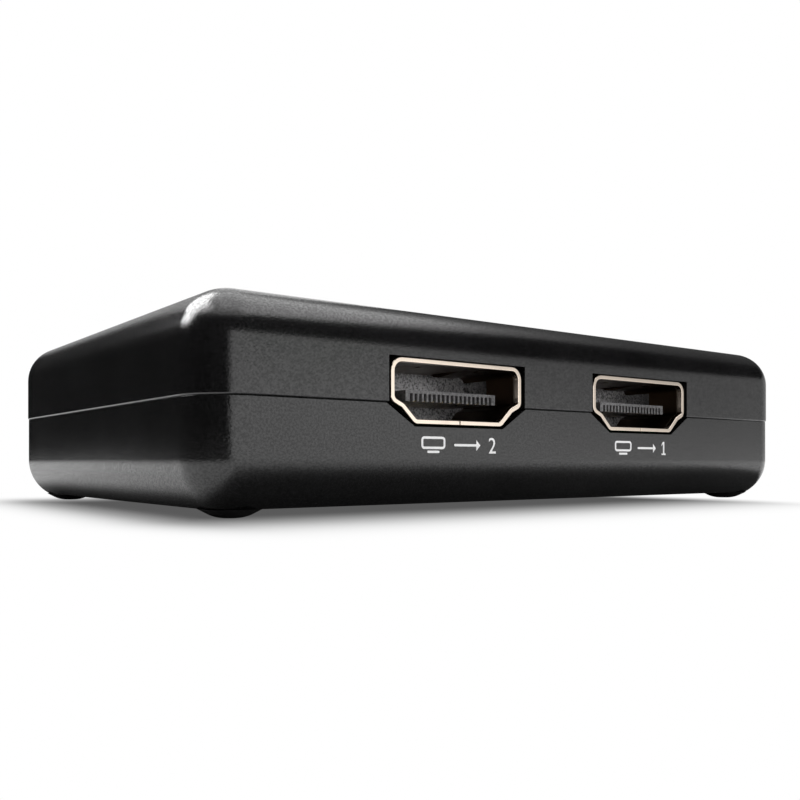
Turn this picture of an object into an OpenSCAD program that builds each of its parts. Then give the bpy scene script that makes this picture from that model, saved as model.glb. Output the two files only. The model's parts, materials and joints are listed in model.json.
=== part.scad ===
// Splitter box for video cables: one input and two outputs in a two-part plastic case.
// Millimetres, +Z up. Origin: centre of the footprint, on the table under the feet.
// The outputs face -Y, the input and the power jack face +Y.

/* [Case] */
// Width of the case along the face with the outputs
case_w = 75; // [70:0.5:100]
// Depth of the case from the outputs to the input
case_d = 48; // [46:0.5:70]
// Height of the closed case without its feet
case_h = 16.4; // [15.8:0.1:20]
// Thickness of the side walls
wall = 1.8; // [1.7:0.05:2]
// Thickness of the floor
floor_t = 2; // [1.8:0.1:2.3]
// Thickness of the roof
roof_t = 1.8; // [1.4:0.1:2.2]
// Height of the parting line above the underside
seam_h = 8.25; // [8:0.05:8.6]
// Radius of the upright corners
corner_r = 4; // [3.95:0.05:4.3]
// Radius of the round along the top edge
top_round_r = 3.85; // [2.5:0.05:3.9]
// Radius of the round along the bottom edge
bottom_round_r = 4.35; // [4.1:0.05:4.6]
// Turn of the bottom round before the flat underside cuts it off
bottom_round_turn = 60; // [52:1:66]
// How far the upper half stands out over the lower half
seam_step = 0.08; // [0.04:0.01:0.15]
// Height of the locating lip of the lower half
lip_h = 1.2; // [0.8:0.1:1.6]
// Thickness of the locating lip
lip_t = 0.8; // [0.6:0.05:0.9]

/* [Feet and screws] */
// Height of the feet under the case
foot_h = 0.7; // [0.5:0.05:1.2]
// Radius of a foot where it meets the underside
foot_r = 2.5; // [2.3:0.05:2.7]
// Radius of the flat tip of a foot
foot_tip_r = 1.15; // [0.8:0.05:1.5]
// Length of the stem of a foot
foot_stem_l = 0.6; // [0.4:0.1:1]
// Distance of the feet and screws from the sides
foot_inset = 4.45; // [4.4:0.05:5]
// Radius of the screw thread
screw_r = 1; // [0.9:0.05:1.1]
// Length of a screw under its head
screw_l = 8; // [7.4:0.2:9]
// Radius of a screw head
screw_head_r = 1.9; // [1.7:0.05:1.95]
// Thickness of a screw head
screw_head_t = 1.2; // [1:0.1:1.4]
// Height of the screw seat above the underside
screw_seat_h = 2.6; // [2.5:0.1:3]
// Radius of the screw columns of the lower half
column_r = 3; // [2.8:0.05:3.1]
// Radius of the screw bosses of the upper half, beside the lip
boss_r = 2.5; // [2.2:0.05:2.55]

/* [Sockets] */
// Distance between the two outputs
output_pitch = 24.7; // [23:0.1:27]
// Sideways place of the middle between the outputs
output_mid = -1.3; // [-3:0.1:1]
// Sideways place of the input
input_x = -1.3; // [-3:0.1:1]
// Height of the socket centres above the underside
socket_h = 9.28; // [9.2:0.02:9.6]
// How far the socket mouths sit behind the faces of the case
socket_recess = 0.14; // [0.08:0.01:0.4]
// Width of a socket opening
opening_w = 14; // [13.9:0.05:14.2]
// Height of a socket opening
opening_h = 4.55; // [4.45:0.05:4.7]
// Thickness of the sheet of a socket shell
sheet_t = 0.4; // [0.3:0.01:0.44]
// Length of a socket shell
shell_l = 11.2; // [10.6:0.1:12]
// Depth of the cavity of a socket
cavity_l = 7; // [6.8:0.1:7.4]
// Width of the tongue
tongue_w = 10.2; // [10:0.1:10.6]
// Thickness of the tongue
tongue_t = 0.9; // [0.8:0.05:1]
// Distance of the tongue's tip behind the mouth
tongue_back = 1; // [0.8:0.05:1.2]
// How far the middle of the tongue lies under the middle of the opening
tongue_drop = 0.3; // [0.2:0.02:0.4]
// Distance between neighbouring contacts
contact_pitch = 0.5; // [0.48:0.01:0.52]
// Width of a contact
contact_w = 0.3; // [0.24:0.01:0.32]
// Thickness of a contact
contact_t = 0.12; // [0.1:0.01:0.15]

/* [Spring fingers] */
// Distance of the finger roots behind the mouth
finger_root = 2.2; // [2:0.1:2.4]
// Length of a finger from its root to its contact point
finger_l = 3.4; // [3.2:0.1:3.5]
// Length of the bent-back tip of a finger
finger_tip_l = 0.8; // [0.6:0.05:0.9]
// How far the tip of a finger is bent back
finger_tip_rise = 0.12; // [0.08:0.01:0.15]
// Width of a finger
finger_w = 1.7; // [1.5:0.05:1.8]
// Thickness of a finger
finger_t = 0.2; // [0.15:0.01:0.22]
// How far a finger reaches into the opening
finger_dip = 0.32; // [0.25:0.01:0.36]
// Distance of the upper fingers from the middle
upper_finger_x = 3.4; // [3:0.1:4]
// Distance of the lower fingers from the middle
lower_finger_x = 2.4; // [2:0.1:2.6]

/* [Power jack] */
// Sideways place of the power jack
jack_x = 20; // [18.5:0.1:21]
// Width of the jack body
jack_w = 6.4; // [6:0.1:7]
// Length of the jack body behind its nose
jack_l = 10; // [9.5:0.1:11]
// Radius of the round nose of the jack
jack_nose_r = 2.75; // [2.6:0.05:2.8]
// Radius of the hole for the plug
jack_bore_r = 1.85; // [1.8:0.01:1.9]
// Depth of the hole for the plug
jack_bore_l = 9; // [8.8:0.1:9.4]
// Radius of the centre pin
jack_pin_r = 0.62; // [0.55:0.01:0.68]
// Length of the centre pin in the hole
jack_pin_l = 7.8; // [7:0.1:8.2]
// Height of the jack axis above the board
jack_axis_h = 2.9; // [2.85:0.05:3.1]

/* [Board and parts on it] */
// Thickness of the board
board_t = 1.6; // [1:0.1:1.7]
// Gap between the board and the walls
board_gap = 0.3; // [0.25:0.05:0.5]
// Side of the body of the splitter chip
chip_s = 10; // [9:0.5:10.5]
// Radius of an electrolytic capacitor
can_r = 2.5; // [2:0.1:2.6]
// Height of an electrolytic capacitor
can_h = 5.4; // [4.4:0.1:6]
// Distance between the lamps
lamp_pitch = 3.5; // [3:0.1:3.8]
// Distance of the lamps from the front face
lamp_inset = 7; // [6.5:0.1:8]
// Radius of the light guide's rods
rod_r = 1; // [0.8:0.05:1.1]

/* [Hidden] */
$fn = 64;
// Overlap of shapes that are joined or cut through
bite = 0.2;
// Gap between pieces that are put together by hand
fit_gap = 0.1;
// Gap of a screw in its thread hole
thread_gap = 0.02;
// Gap around a socket in its aperture: beside the shell, over it, under it, and beside it at the parting line
aperture_gap = 0.3;
aperture_gap_over = 0.06;
aperture_gap_under = 0.22;
aperture_flare = 0.55;
// Gap under a socket shell, over the board
shell_lift = 0.2;

case_in_w = case_w - 2 * wall;
case_in_d = case_d - 2 * wall;
roof_h = case_h - roof_t;
bottom_round_rise = bottom_round_r * sin(bottom_round_turn);
foot_x = case_w / 2 - foot_inset;
foot_y = case_d / 2 - foot_inset;
head_bore_r = screw_head_r + 1.5 * fit_gap;
screw_cut_w = 0.35;

socket_y = case_d / 2 - socket_recess;
output_2_x = output_mid - output_pitch / 2;
output_1_x = output_mid + output_pitch / 2;
half_w = opening_w / 2;
half_h = opening_h / 2;
shoulder_in = 0.95;
shoulder_drop = 1.05;
side_drop = 0.62;
bottom_in = 2.25;
arc_steps = 6;
tongue_mid = -tongue_drop;
tongue_top = tongue_mid + tongue_t / 2;
tongue_bottom = tongue_mid - tongue_t / 2;
contact_count = 19;
tail_out = 0.45;
tail_foot = 1;
leg_w = 1.5;
leg_out = 0.9;
leg_y = [3.2, 8.8];
rest_w = 8.4;
rest_start = 8.2;
finger_bead_r = 0.16;
finger_gap = 0.15;
finger_root_z = half_h + sheet_t / 2;
contact_point_z = half_h - finger_dip + finger_t / 2;

board_top = socket_h - half_h - sheet_t - shell_lift;
board_bottom = board_top - board_t;
board_w = case_in_w - 2 * board_gap;
board_d = case_in_d - 2 * board_gap;
notch_x = foot_x - column_r - board_gap;
notch_y = foot_y - column_r - board_gap;
post_x = board_w / 2 - 7.4;
post_y = board_d / 2 - 8.9;
post_r = 1.8;
peg_r = 0.75;
peg_out = 0.8;

jack_y = case_d / 2 - socket_recess;
jack_z = board_top + jack_axis_h;
jack_nose_l = wall + board_gap + fit_gap;
jack_h = 2 * jack_axis_h;
jack_tab_w = 1.4;
leaf_w = 1.6;
leaf_t = 0.2;
leaf_l = 4.4;
leaf_root = 9.8;
leaf_bead_r = 0.16;
leaf_root_z = 2.25;
leaf_dip = 0.3;
leaf_tip_l = 1;
leaf_tip_rise = 0.15;
leaf_gap = 0.15;

chip_t = 1;
chip_lead_l = 1;
chip_leads = 14;
chip_lift = 0.1;
lead_t = 0.2;
memory_size = [4.9, 3.9, 1.4];
memory_leads = 4;
memory_pitch = 1.27;
memory_lead_w = 0.42;
control_size = [6.5, 4.4, 1];
control_leads = 10;
control_pitch = 0.65;
control_lead_w = 0.25;
side_lead_l = 0.9;
regulator_size = [6.5, 3.5, 1.6];
regulator_pitch = 2.3;
regulator_lead_w = 0.7;
regulator_tab_w = 3;
regulator_lead_l = 1.6;
choke_side = 4.5;
choke_base_t = 0.6;
choke_core_h = 2.4;
choke_cap_t = 0.6;
can_base_h = 0.9;
can_base_out = 0.1;
crystal_size = [5, 3.2, 1.1];
array_size = [2.5, 1, 0.55];
array_gap = 0.4;
array_count = 4;
small_l = 1.6;
small_w = 0.8;
capacitor_t = 0.8;
resistor_t = 0.5;
small_gap = 0.7;
part_gap = 1.2;
lamp_w = 1.25;
lamp_l = 2;
lamp_t = 0.8;
lamp_base_t = 0.3;
lamp_y = -case_d / 2 + lamp_inset + socket_recess;
rod_gap = 0.05;
bar_t = 1.2;
bar_w = 3;
array_back = shell_l + tail_out + tail_foot + part_gap;
array_row = array_count * array_size[0] + (array_count - 1) * array_gap;

function lamp_places() = [for (i = [-1:1]) [output_mid + i * lamp_pitch, lamp_y]];
// Places on the board, worked out from its right edge and from the chip outwards
right_edge = board_w / 2;
chip_reach = chip_s / 2 + chip_lead_l;
capacitor_x = chip_reach + part_gap + small_l / 2;
capacitor_columns = 2;
capacitor_step = small_l + small_gap;
chip_side_x = capacitor_x + (capacitor_columns - 0.5) * capacitor_step + part_gap / 2;
regulator_reach = regulator_size[1] + 2 * regulator_lead_l;
regulator_x = right_edge - 2 * can_r - 2 * part_gap - regulator_size[0] / 2;
regulator_places = [for (s = [-1, 1]) [regulator_x, s * (regulator_reach + part_gap) / 2]];
can_x = right_edge - can_r - part_gap;
choke_place = [right_edge - choke_side / 2 - part_gap, 0];
can_places = [for (s = [-1, 1]) [can_x, s * (choke_side / 2 + part_gap + can_r)]];
memory_place = [output_mid - chip_side_x - memory_size[0] / 2, 0];
control_place = [output_mid + chip_side_x + control_size[0] / 2, 0];
crystal_place = [output_mid, -chip_reach - part_gap - crystal_size[1] / 2];

// Outlines

function unit(v) = v / norm(v);
function left_of(v) = [-v[1], v[0]];
function cross2(a, b) = a[0] * b[1] - a[1] * b[0];
function way_in(pts, i) = unit(pts[i] - pts[(i + len(pts) - 1) % len(pts)]);
function way_out(pts, i) = unit(pts[(i + 1) % len(pts)] - pts[i]);

// A closed outline, turning left, with every side moved outwards by the same distance
function grown(pts, by) = [for (i = [0:len(pts) - 1])
    let (a = -left_of(way_in(pts, i)), b = -left_of(way_out(pts, i)))
    pts[i] + by * (a + b) / (1 + a * b)];

// The points of an arc that rounds one corner
function corner_arc(p, a, b, r) =
    let (turn = atan2(cross2(a, b), a * b),
         side = turn > 0 ? 1 : -1,
         start = p - a * r * tan(abs(turn) / 2),
         centre = start + side * r * left_of(a))
    [for (k = [0:arc_steps])
        let (t = turn * k / arc_steps, v = start - centre)
        centre + [v[0] * cos(t) - v[1] * sin(t), v[0] * sin(t) + v[1] * cos(t)]];

function rounded(pts, radii) = [for (i = [0:len(pts) - 1])
    each corner_arc(pts[i], way_in(pts, i), way_out(pts, i), radii[i])];

// A bent strip of even thickness around a line
function strip_side(line, by) = [for (i = [0:len(line) - 1])
    let (a = left_of(unit(line[max(i, 1)] - line[max(i, 1) - 1])),
         b = left_of(unit(line[min(i, len(line) - 2) + 1] - line[min(i, len(line) - 2)])))
    line[i] + by * (a + b) / (1 + a * b)];
function strip(line, t) = concat(strip_side(line, -t / 2),
    [for (i = [len(line) - 1:-1:0]) strip_side(line, t / 2)[i]]);

// The opening of a socket, grown outwards by a distance
opening_corners = [[half_w, half_h], [-half_w, half_h], [-half_w, -side_drop],
    [shoulder_in - half_w, -shoulder_drop], [bottom_in - half_w, -half_h],
    [half_w - bottom_in, -half_h], [half_w - shoulder_in, -shoulder_drop], [half_w, -side_drop]];
opening_radii = [0.75, 0.75, 0.35, 0.75, 0.35, 0.35, 0.75, 0.35];
opening_signs = [1, 1, 1, -1, 1, 1, -1, 1];
function socket_outline(by) = rounded(grown(opening_corners, by),
    [for (i = [0:7]) opening_radii[i] + by * opening_signs[i]]);

// Shapes shared by several pieces

// Lifts what is drawn from the underside of the case to its place above the table
module on_feet() {
    translate([0, 0, foot_h]) children();
}

// Block with rounded upright corners whose side has the profile given as child
module rounded_block(w, d, r, h) {
    run_x = w - 2 * r;
    run_y = d - 2 * r;
    translate([-run_x / 2, -run_y / 2, 0]) cube([run_x, run_y, h]);
    for (k = [0, 1]) rotate(180 * k) {
        translate([run_x / 2, run_y / 2, 0]) rotate([90, 0, 0]) linear_extrude(run_y) children();
        rotate(90) translate([run_y / 2, run_x / 2, 0]) rotate([90, 0, 0])
            linear_extrude(run_x) children();
        translate([run_x / 2, run_y / 2, 0]) rotate_extrude(angle = 90) children();
        translate([-run_x / 2, run_y / 2, 0]) rotate(90) rotate_extrude(angle = 90) children();
    }
}

module straight_block(w, d, r, h) {
    rounded_block(w, d, r, h) square([r, h]);
}

// Profile of the upper half: upright side and a round at the top
module upper_profile(r, round_r, h) {
    difference() {
        square([r, h]);
        translate([r - round_r, h - round_r]) difference() {
            square(round_r + bite);
            circle(round_r);
        }
    }
}

// Profile of the lower half: the round at the bottom is cut off by the underside
module lower_profile(r, round_r, start, h) {
    difference() {
        translate([0, start]) square([r, h - start]);
        translate([r - round_r, bottom_round_rise]) difference() {
            translate([0, -round_r - bite]) square([round_r + bite, round_r + bite]);
            circle(round_r);
        }
    }
}

// Places of the feet and screws
module at_corners() {
    for (sx = [-1, 1], sy = [-1, 1]) translate([sx * foot_x, sy * foot_y, 0]) children();
}

// Places of the posts that hold the board
module at_posts() {
    for (sx = [-1, 1], sy = [-1, 1]) translate([sx * post_x, sy * post_y, 0]) children();
}

// Socket frame: middle of the mouth, +Y into the socket
module at_output_1() {
    translate([output_1_x, -socket_y, foot_h + socket_h]) children();
}

module at_output_2() {
    translate([output_2_x, -socket_y, foot_h + socket_h]) children();
}

module at_input() {
    translate([input_x, socket_y, foot_h + socket_h]) rotate(180) children();
}

module at_sockets() {
    at_output_1() children();
    at_output_2() children();
    at_input() children();
}

// Jack frame: middle of the mouth, +Y into the jack
module at_jack() {
    translate([jack_x, jack_y, foot_h + jack_z]) rotate(180) children();
}

// Solid along +Y from an outline seen from the front
module along_depth(start, end) {
    translate([0, end, 0]) rotate([90, 0, 0]) linear_extrude(end - start) children();
}

// Solid along X from an outline in the YZ plane
module across(width) {
    translate([-width / 2, 0, 0]) rotate([90, 0, 90]) linear_extrude(width) children();
}

// Case

// What is cut from the walls and the lip for one socket
module socket_aperture() {
    seam_z = seam_h - socket_h;
    top = half_h + sheet_t + aperture_gap_over;
    bottom = -half_h - sheet_t - aperture_gap_under;
    top_half = half_w + sheet_t + aperture_gap;
    seam_half = half_w + sheet_t + aperture_flare;
    bottom_half = half_w - bottom_in + sheet_t - aperture_gap / 2;
    along_depth(-socket_recess - bite, wall + bite) {
        translate([-top_half, seam_z]) square([2 * top_half, top - seam_z]);
        polygon([[-seam_half, seam_z], [-bottom_half, bottom], [bottom_half, bottom],
                 [seam_half, seam_z]]);
    }
}

module case_apertures() {
    at_sockets() socket_aperture();
    at_jack() along_depth(-socket_recess - bite, wall + bite) circle(jack_nose_r + aperture_gap);
}

module top_cover_body() {
    h = case_h - seam_h;
    rebate_in = wall - lip_t - fit_gap;
    boss_start = lip_h + 2 * fit_gap;
    cavity_top = roof_h - seam_h;
    difference() {
        rounded_block(case_w, case_d, corner_r, h) upper_profile(corner_r, top_round_r, h);
        rounded_block(case_in_w, case_in_d, corner_r - wall, cavity_top)
            upper_profile(corner_r - wall, top_round_r - roof_t, cavity_top);
        translate([0, 0, -bite])
            straight_block(case_w - 2 * rebate_in, case_d - 2 * rebate_in, corner_r - rebate_in,
                           lip_h + fit_gap + bite);
    }
    at_corners() {
        translate([0, 0, boss_start]) cylinder(r = column_r, h = cavity_top - boss_start + bite);
        translate([0, 0, fit_gap]) cylinder(r = boss_r, h = boss_start);
    }
    at_posts() translate([0, 0, board_top - seam_h])
        cylinder(r = post_r, h = roof_h - board_top + bite);
}

module top_cover() {
    screw_reach = screw_seat_h + screw_l + 4 * fit_gap;
    color([0.035, 0.035, 0.038]) difference() {
        on_feet() difference() {
            translate([0, 0, seam_h]) top_cover_body();
            at_corners() translate([0, 0, seam_h])
                cylinder(r = screw_r + thread_gap, h = screw_reach - seam_h);
            at_posts() translate([0, 0, board_top - bite])
                cylinder(r = peg_r + 2 * fit_gap, h = peg_out + 4 * fit_gap + bite);
            for (p = lamp_places()) translate([p[0], p[1], roof_h - bite])
                cylinder(r = rod_r + rod_gap, h = roof_t + 2 * bite);
        }
        case_apertures();
    }
}

module bottom_cover_body() {
    w = case_w - 2 * seam_step;
    d = case_d - 2 * seam_step;
    r = corner_r - seam_step;
    lip_in = wall - lip_t;
    difference() {
        union() {
            rounded_block(w, d, r, seam_h) lower_profile(r, bottom_round_r, 0, seam_h);
            translate([0, 0, seam_h - bite])
                straight_block(case_w - 2 * lip_in, case_d - 2 * lip_in, corner_r - lip_in,
                               lip_h + bite);
        }
        translate([0, 0, floor_t])
            rounded_block(case_in_w, case_in_d, corner_r - wall, seam_h + lip_h - floor_t + bite)
            translate([0, -floor_t]) lower_profile(corner_r - wall, bottom_round_r - wall, floor_t,
                                                   seam_h + lip_h + bite);
    }
    at_corners() translate([0, 0, floor_t - bite])
        cylinder(r = column_r, h = seam_h - floor_t + bite);
    at_posts() {
        translate([0, 0, floor_t - bite]) cylinder(r = post_r, h = board_bottom - floor_t + bite);
        translate([0, 0, floor_t]) cylinder(r = peg_r, h = board_top + peg_out - floor_t);
    }
}

module bottom_cover() {
    color([0.03, 0.03, 0.032]) difference() {
        on_feet() difference() {
            bottom_cover_body();
            at_corners() {
                translate([0, 0, -bite]) cylinder(r = head_bore_r, h = screw_seat_h + bite);
                cylinder(r = screw_r + 1.5 * fit_gap, h = seam_h + bite);
            }
        }
        case_apertures();
    }
}

module rubber_feet() {
    color([0.05, 0.05, 0.05]) at_corners() {
        cylinder(r1 = foot_tip_r, r2 = foot_r, h = foot_h);
        translate([0, 0, foot_h - bite])
            cylinder(r = head_bore_r - fit_gap / 2, h = foot_stem_l + bite);
    }
}

module case_screws() {
    tip_l = 1.4;
    color([0.62, 0.62, 0.64]) on_feet() at_corners() translate([0, 0, screw_seat_h])
        difference() {
            union() {
                translate([0, 0, -screw_head_t]) cylinder(r = screw_head_r, h = screw_head_t);
                translate([0, 0, -bite]) cylinder(r = screw_r, h = screw_l - tip_l + bite);
                translate([0, 0, screw_l - tip_l])
                    cylinder(r1 = screw_r, r2 = screw_r / 4, h = tip_l);
            }
            for (a = [0, 90]) rotate(a)
                translate([-screw_head_r * 0.6, -screw_cut_w / 2, -screw_head_t - bite])
                cube([screw_head_r * 1.2, screw_cut_w, screw_head_t * 0.6 + bite]);
        }
}

// Sockets

// The strip of one contact, from the tongue to its soldered foot on the board
module contact(i) {
    upper = i % 2 == 0;
    z = upper ? tongue_top - contact_t / 2 : tongue_bottom + contact_t / 2;
    back = shell_l + tail_out;
    foot_z = board_top - socket_h + contact_t / 2;
    start = tongue_back + 2 * contact_t;
    translate([(i - (contact_count - 1) / 2) * contact_pitch, 0, 0]) across(contact_w)
        polygon(strip([[start, z], [back, z], [back, foot_z], [back + tail_foot, foot_z]],
                      contact_t));
}

module socket_contacts() {
    for (i = [0:contact_count - 1]) contact(i);
}

// Frame shared by the fingers: root axis on the middle of the sheet
module upper_finger_places() {
    for (sx = [-1, 1]) translate([sx * upper_finger_x, finger_root, 0]) children();
}

module lower_finger_places() {
    for (sx = [-1, 1]) translate([sx * lower_finger_x, finger_root, 0]) children();
}

// The window in the sheet around one finger
module finger_window() {
    w = finger_w + 2 * finger_gap;
    l = finger_l + finger_tip_l + finger_bead_r + 4 * finger_gap;
    translate([-w / 2, -finger_bead_r - finger_gap / 3, half_h - bite])
        cube([w, l, sheet_t + 2 * bite]);
}

module finger() {
    bend = contact_point_z - finger_root_z;
    translate([-finger_w / 2, 0, finger_root_z]) rotate([0, 90, 0])
        cylinder(r = finger_bead_r, h = finger_w);
    translate([0, 0, finger_root_z]) across(finger_w)
        polygon(strip([[0, 0], [finger_l, bend],
                       [finger_l + finger_tip_l, bend + finger_tip_rise]], finger_t));
}

module socket_upper_fingers() {
    upper_finger_places() finger();
}

module socket_lower_fingers() {
    lower_finger_places() mirror([0, 0, 1]) finger();
}

module socket_legs() {
    bottom = board_bottom - socket_h - leg_out;
    for (sx = [-1, 1], y = leg_y)
        translate([sx * (half_w + sheet_t / 2) - sheet_t / 2, y - leg_w / 2, bottom])
        cube([sheet_t, leg_w, -bottom]);
}

module socket_shell() {
    joint_w = 0.06;
    difference() {
        along_depth(0, shell_l) polygon(socket_outline(sheet_t));
        along_depth(-bite, shell_l + bite) polygon(socket_outline(0));
        upper_finger_places() finger_window();
        lower_finger_places() mirror([0, 0, 1]) finger_window();
        translate([-joint_w / 2, -bite, -half_h - sheet_t - bite])
            cube([joint_w, rest_start + bite, sheet_t + 2 * bite]);
        translate([-rest_w / 2, rest_start, -half_h - sheet_t - bite])
            cube([rest_w, shell_l - rest_start + bite, sheet_t + 2 * bite]);
    }
    socket_legs();
}

module socket_insulator() {
    rest_in = fit_gap / 2;
    tooth_l = 0.4;
    tooth_top = 0.25;
    difference() {
        union() {
            along_depth(cavity_l, shell_l) polygon(socket_outline(0));
            translate([-tongue_w / 2, tongue_back, tongue_bottom])
                cube([tongue_w, cavity_l - tongue_back + bite, tongue_t]);
            translate([-rest_w / 2 + rest_in, rest_start + rest_in, board_top - socket_h])
                cube([rest_w - 2 * rest_in, shell_l - rest_start - rest_in,
                      socket_h - board_top - half_h + bite]);
        }
        socket_contacts();
        for (i = [0:contact_count - 1])
            translate([(i - (contact_count - 1) / 2) * contact_pitch - contact_w / 2,
                       tongue_back - bite, tongue_bottom - bite])
            cube([contact_w, tooth_l + bite, tongue_t - tooth_top + bite]);
    }
}

module output_1_shell() { color([0.93, 0.82, 0.68]) at_output_1() socket_shell(); }
module output_2_shell() { color([0.93, 0.82, 0.68]) at_output_2() socket_shell(); }
module input_shell() { color([0.93, 0.82, 0.68]) at_input() socket_shell(); }

module output_1_insulator() { color([0.1, 0.1, 0.1]) at_output_1() socket_insulator(); }
module output_2_insulator() { color([0.1, 0.1, 0.1]) at_output_2() socket_insulator(); }
module input_insulator() { color([0.1, 0.1, 0.1]) at_input() socket_insulator(); }

module output_1_contacts() { color([0.9, 0.75, 0.42]) at_output_1() socket_contacts(); }
module output_2_contacts() { color([0.9, 0.75, 0.42]) at_output_2() socket_contacts(); }
module input_contacts() { color([0.9, 0.75, 0.42]) at_input() socket_contacts(); }

module output_1_upper_fingers() { color([0.9, 0.78, 0.6]) at_output_1() socket_upper_fingers(); }
module output_2_upper_fingers() { color([0.9, 0.78, 0.6]) at_output_2() socket_upper_fingers(); }
module input_upper_fingers() { color([0.9, 0.78, 0.6]) at_input() socket_upper_fingers(); }

module output_1_lower_fingers() { color([0.9, 0.78, 0.6]) at_output_1() socket_lower_fingers(); }
module output_2_lower_fingers() { color([0.9, 0.78, 0.6]) at_output_2() socket_lower_fingers(); }
module input_lower_fingers() { color([0.9, 0.78, 0.6]) at_input() socket_lower_fingers(); }

// Power jack

module power_jack_body() {
    slot_w = leaf_w + 2 * leaf_gap;
    slot_start = leaf_root - leaf_l - leaf_tip_l - 3 * leaf_gap;
    slot_end = leaf_root + leaf_bead_r + leaf_gap;
    back = jack_nose_l + jack_l;
    color([0.06, 0.06, 0.06]) at_jack() difference() {
        union() {
            along_depth(0, jack_nose_l + bite) circle(jack_nose_r);
            translate([-jack_w / 2, jack_nose_l, -jack_axis_h]) cube([jack_w, jack_l, jack_h]);
        }
        along_depth(-bite, jack_bore_l) circle(jack_bore_r);
        along_depth(jack_bore_l - bite, back + bite) circle(jack_pin_r);
        translate([-slot_w / 2, slot_start, 0])
            cube([slot_w, slot_end - slot_start, jack_h]);
    }
}

module power_jack_pin() {
    back = jack_nose_l + jack_l;
    drop = board_bottom - leg_out - jack_z;
    color([0.8, 0.78, 0.72]) at_jack() {
        along_depth(jack_bore_l - jack_pin_l, back + contact_t) circle(jack_pin_r);
        translate([-jack_tab_w / 2, back, drop])
            cube([jack_tab_w, 2 * contact_t, jack_pin_r - drop]);
    }
}

module power_jack_leaf() {
    bend = jack_bore_r - leaf_dip + leaf_t / 2 - leaf_root_z;
    color([0.85, 0.8, 0.7]) at_jack() translate([0, leaf_root, leaf_root_z]) {
        translate([-leaf_w / 2, 0, 0]) rotate([0, 90, 0]) cylinder(r = leaf_bead_r, h = leaf_w);
        across(leaf_w) polygon(strip([[-leaf_l - leaf_tip_l, bend + leaf_tip_rise],
                                      [-leaf_l, bend], [0, 0]], leaf_t));
    }
}

// Board and the parts on it

module board_slots() {
    slot = sheet_t + 4 * fit_gap;
    at_sockets() for (sx = [-1, 1], y = leg_y)
        translate([sx * (half_w + sheet_t / 2) - slot / 2, y - leg_w / 2 - fit_gap,
                   board_bottom - socket_h - bite])
        cube([slot, leg_w + 2 * fit_gap, board_t + 2 * bite]);
    at_jack() translate([-jack_tab_w / 2 - fit_gap, jack_nose_l + jack_l - fit_gap,
                         board_bottom - jack_z - bite])
        cube([jack_tab_w + 2 * fit_gap, 2 * contact_t + 2 * fit_gap, board_t + 2 * bite]);
}

module main_board() {
    color([0.04, 0.22, 0.1]) difference() {
        on_feet() translate([0, 0, board_bottom]) difference() {
            linear_extrude(board_t) polygon([
                [-notch_x, -board_d / 2], [notch_x, -board_d / 2], [notch_x, -notch_y],
                [board_w / 2, -notch_y], [board_w / 2, notch_y], [notch_x, notch_y],
                [notch_x, board_d / 2], [-notch_x, board_d / 2], [-notch_x, notch_y],
                [-board_w / 2, notch_y], [-board_w / 2, -notch_y], [-notch_x, -notch_y]]);
            at_posts() translate([0, 0, -bite])
                cylinder(r = peg_r + fit_gap, h = board_t + 2 * bite);
        }
        board_slots();
    }
}

// Puts something on the board at one or more places
module on_board(places) {
    for (p = places) translate([p[0], p[1], foot_h + board_top]) children();
}

// Block standing on the board, centred
module brick(w, d, h) {
    translate([-w / 2, -d / 2, 0]) cube([w, d, h]);
}

// Body of a chip, with the dimple that marks its first lead
module chip_body(size) {
    mark_r = size[0] / 20;
    mark_in = 3 * mark_r;
    difference() {
        translate([0, 0, chip_lift]) brick(size[0], size[1], size[2]);
        translate([mark_in - size[0] / 2, mark_in - size[1] / 2, size[2] + chip_lift - bite / 2])
            cylinder(r = mark_r, h = bite);
    }
}

// Packaged chip with two rows of leads along its length
module two_row_chip(size, leads, pitch, lead_w) {
    chip_body(size);
    for (i = [0:leads - 1], k = [0, 1]) rotate(180 * k)
        translate([(i - (leads - 1) / 2) * pitch - lead_w / 2, size[1] / 2 - bite, 0])
        cube([lead_w, side_lead_l + bite, lead_t]);
}

module splitter_chip() {
    pitch = chip_s / (chip_leads + 1);
    lead_w = pitch * 0.45;
    color([0.07, 0.07, 0.08]) on_board([[output_mid, 0]]) {
        chip_body([chip_s, chip_s, chip_t]);
        for (a = [0:90:270], i = [0:chip_leads - 1]) rotate(a)
            translate([chip_s / 2 - bite, (i - (chip_leads - 1) / 2) * pitch - lead_w / 2, 0])
            cube([chip_lead_l + bite, lead_w, lead_t]);
    }
}

module memory_chip() {
    color([0.08, 0.08, 0.08]) on_board([memory_place])
        two_row_chip(memory_size, memory_leads, memory_pitch, memory_lead_w);
}

module control_chip() {
    color([0.08, 0.08, 0.09]) on_board([control_place])
        two_row_chip(control_size, control_leads, control_pitch, control_lead_w);
}

module voltage_regulators() {
    half_d = regulator_size[1] / 2;
    color([0.09, 0.09, 0.09]) on_board(regulator_places) {
        brick(regulator_size[0], regulator_size[1], regulator_size[2]);
        for (i = [-1:1])
            translate([i * regulator_pitch - regulator_lead_w / 2, -half_d - regulator_lead_l, 0])
            cube([regulator_lead_w, regulator_lead_l + bite, lead_t]);
        translate([-regulator_tab_w / 2, half_d - bite, 0])
            cube([regulator_tab_w, regulator_lead_l + bite, lead_t]);
    }
}

module choke() {
    core_share = 0.36;
    cap_share = 0.46;
    color([0.2, 0.2, 0.21]) on_board([choke_place]) {
        brick(choke_side, choke_side, choke_base_t);
        cylinder(r = choke_side * core_share, h = choke_core_h);
        translate([0, 0, choke_core_h - bite])
            cylinder(r = choke_side * cap_share, h = choke_cap_t);
    }
}

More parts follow.
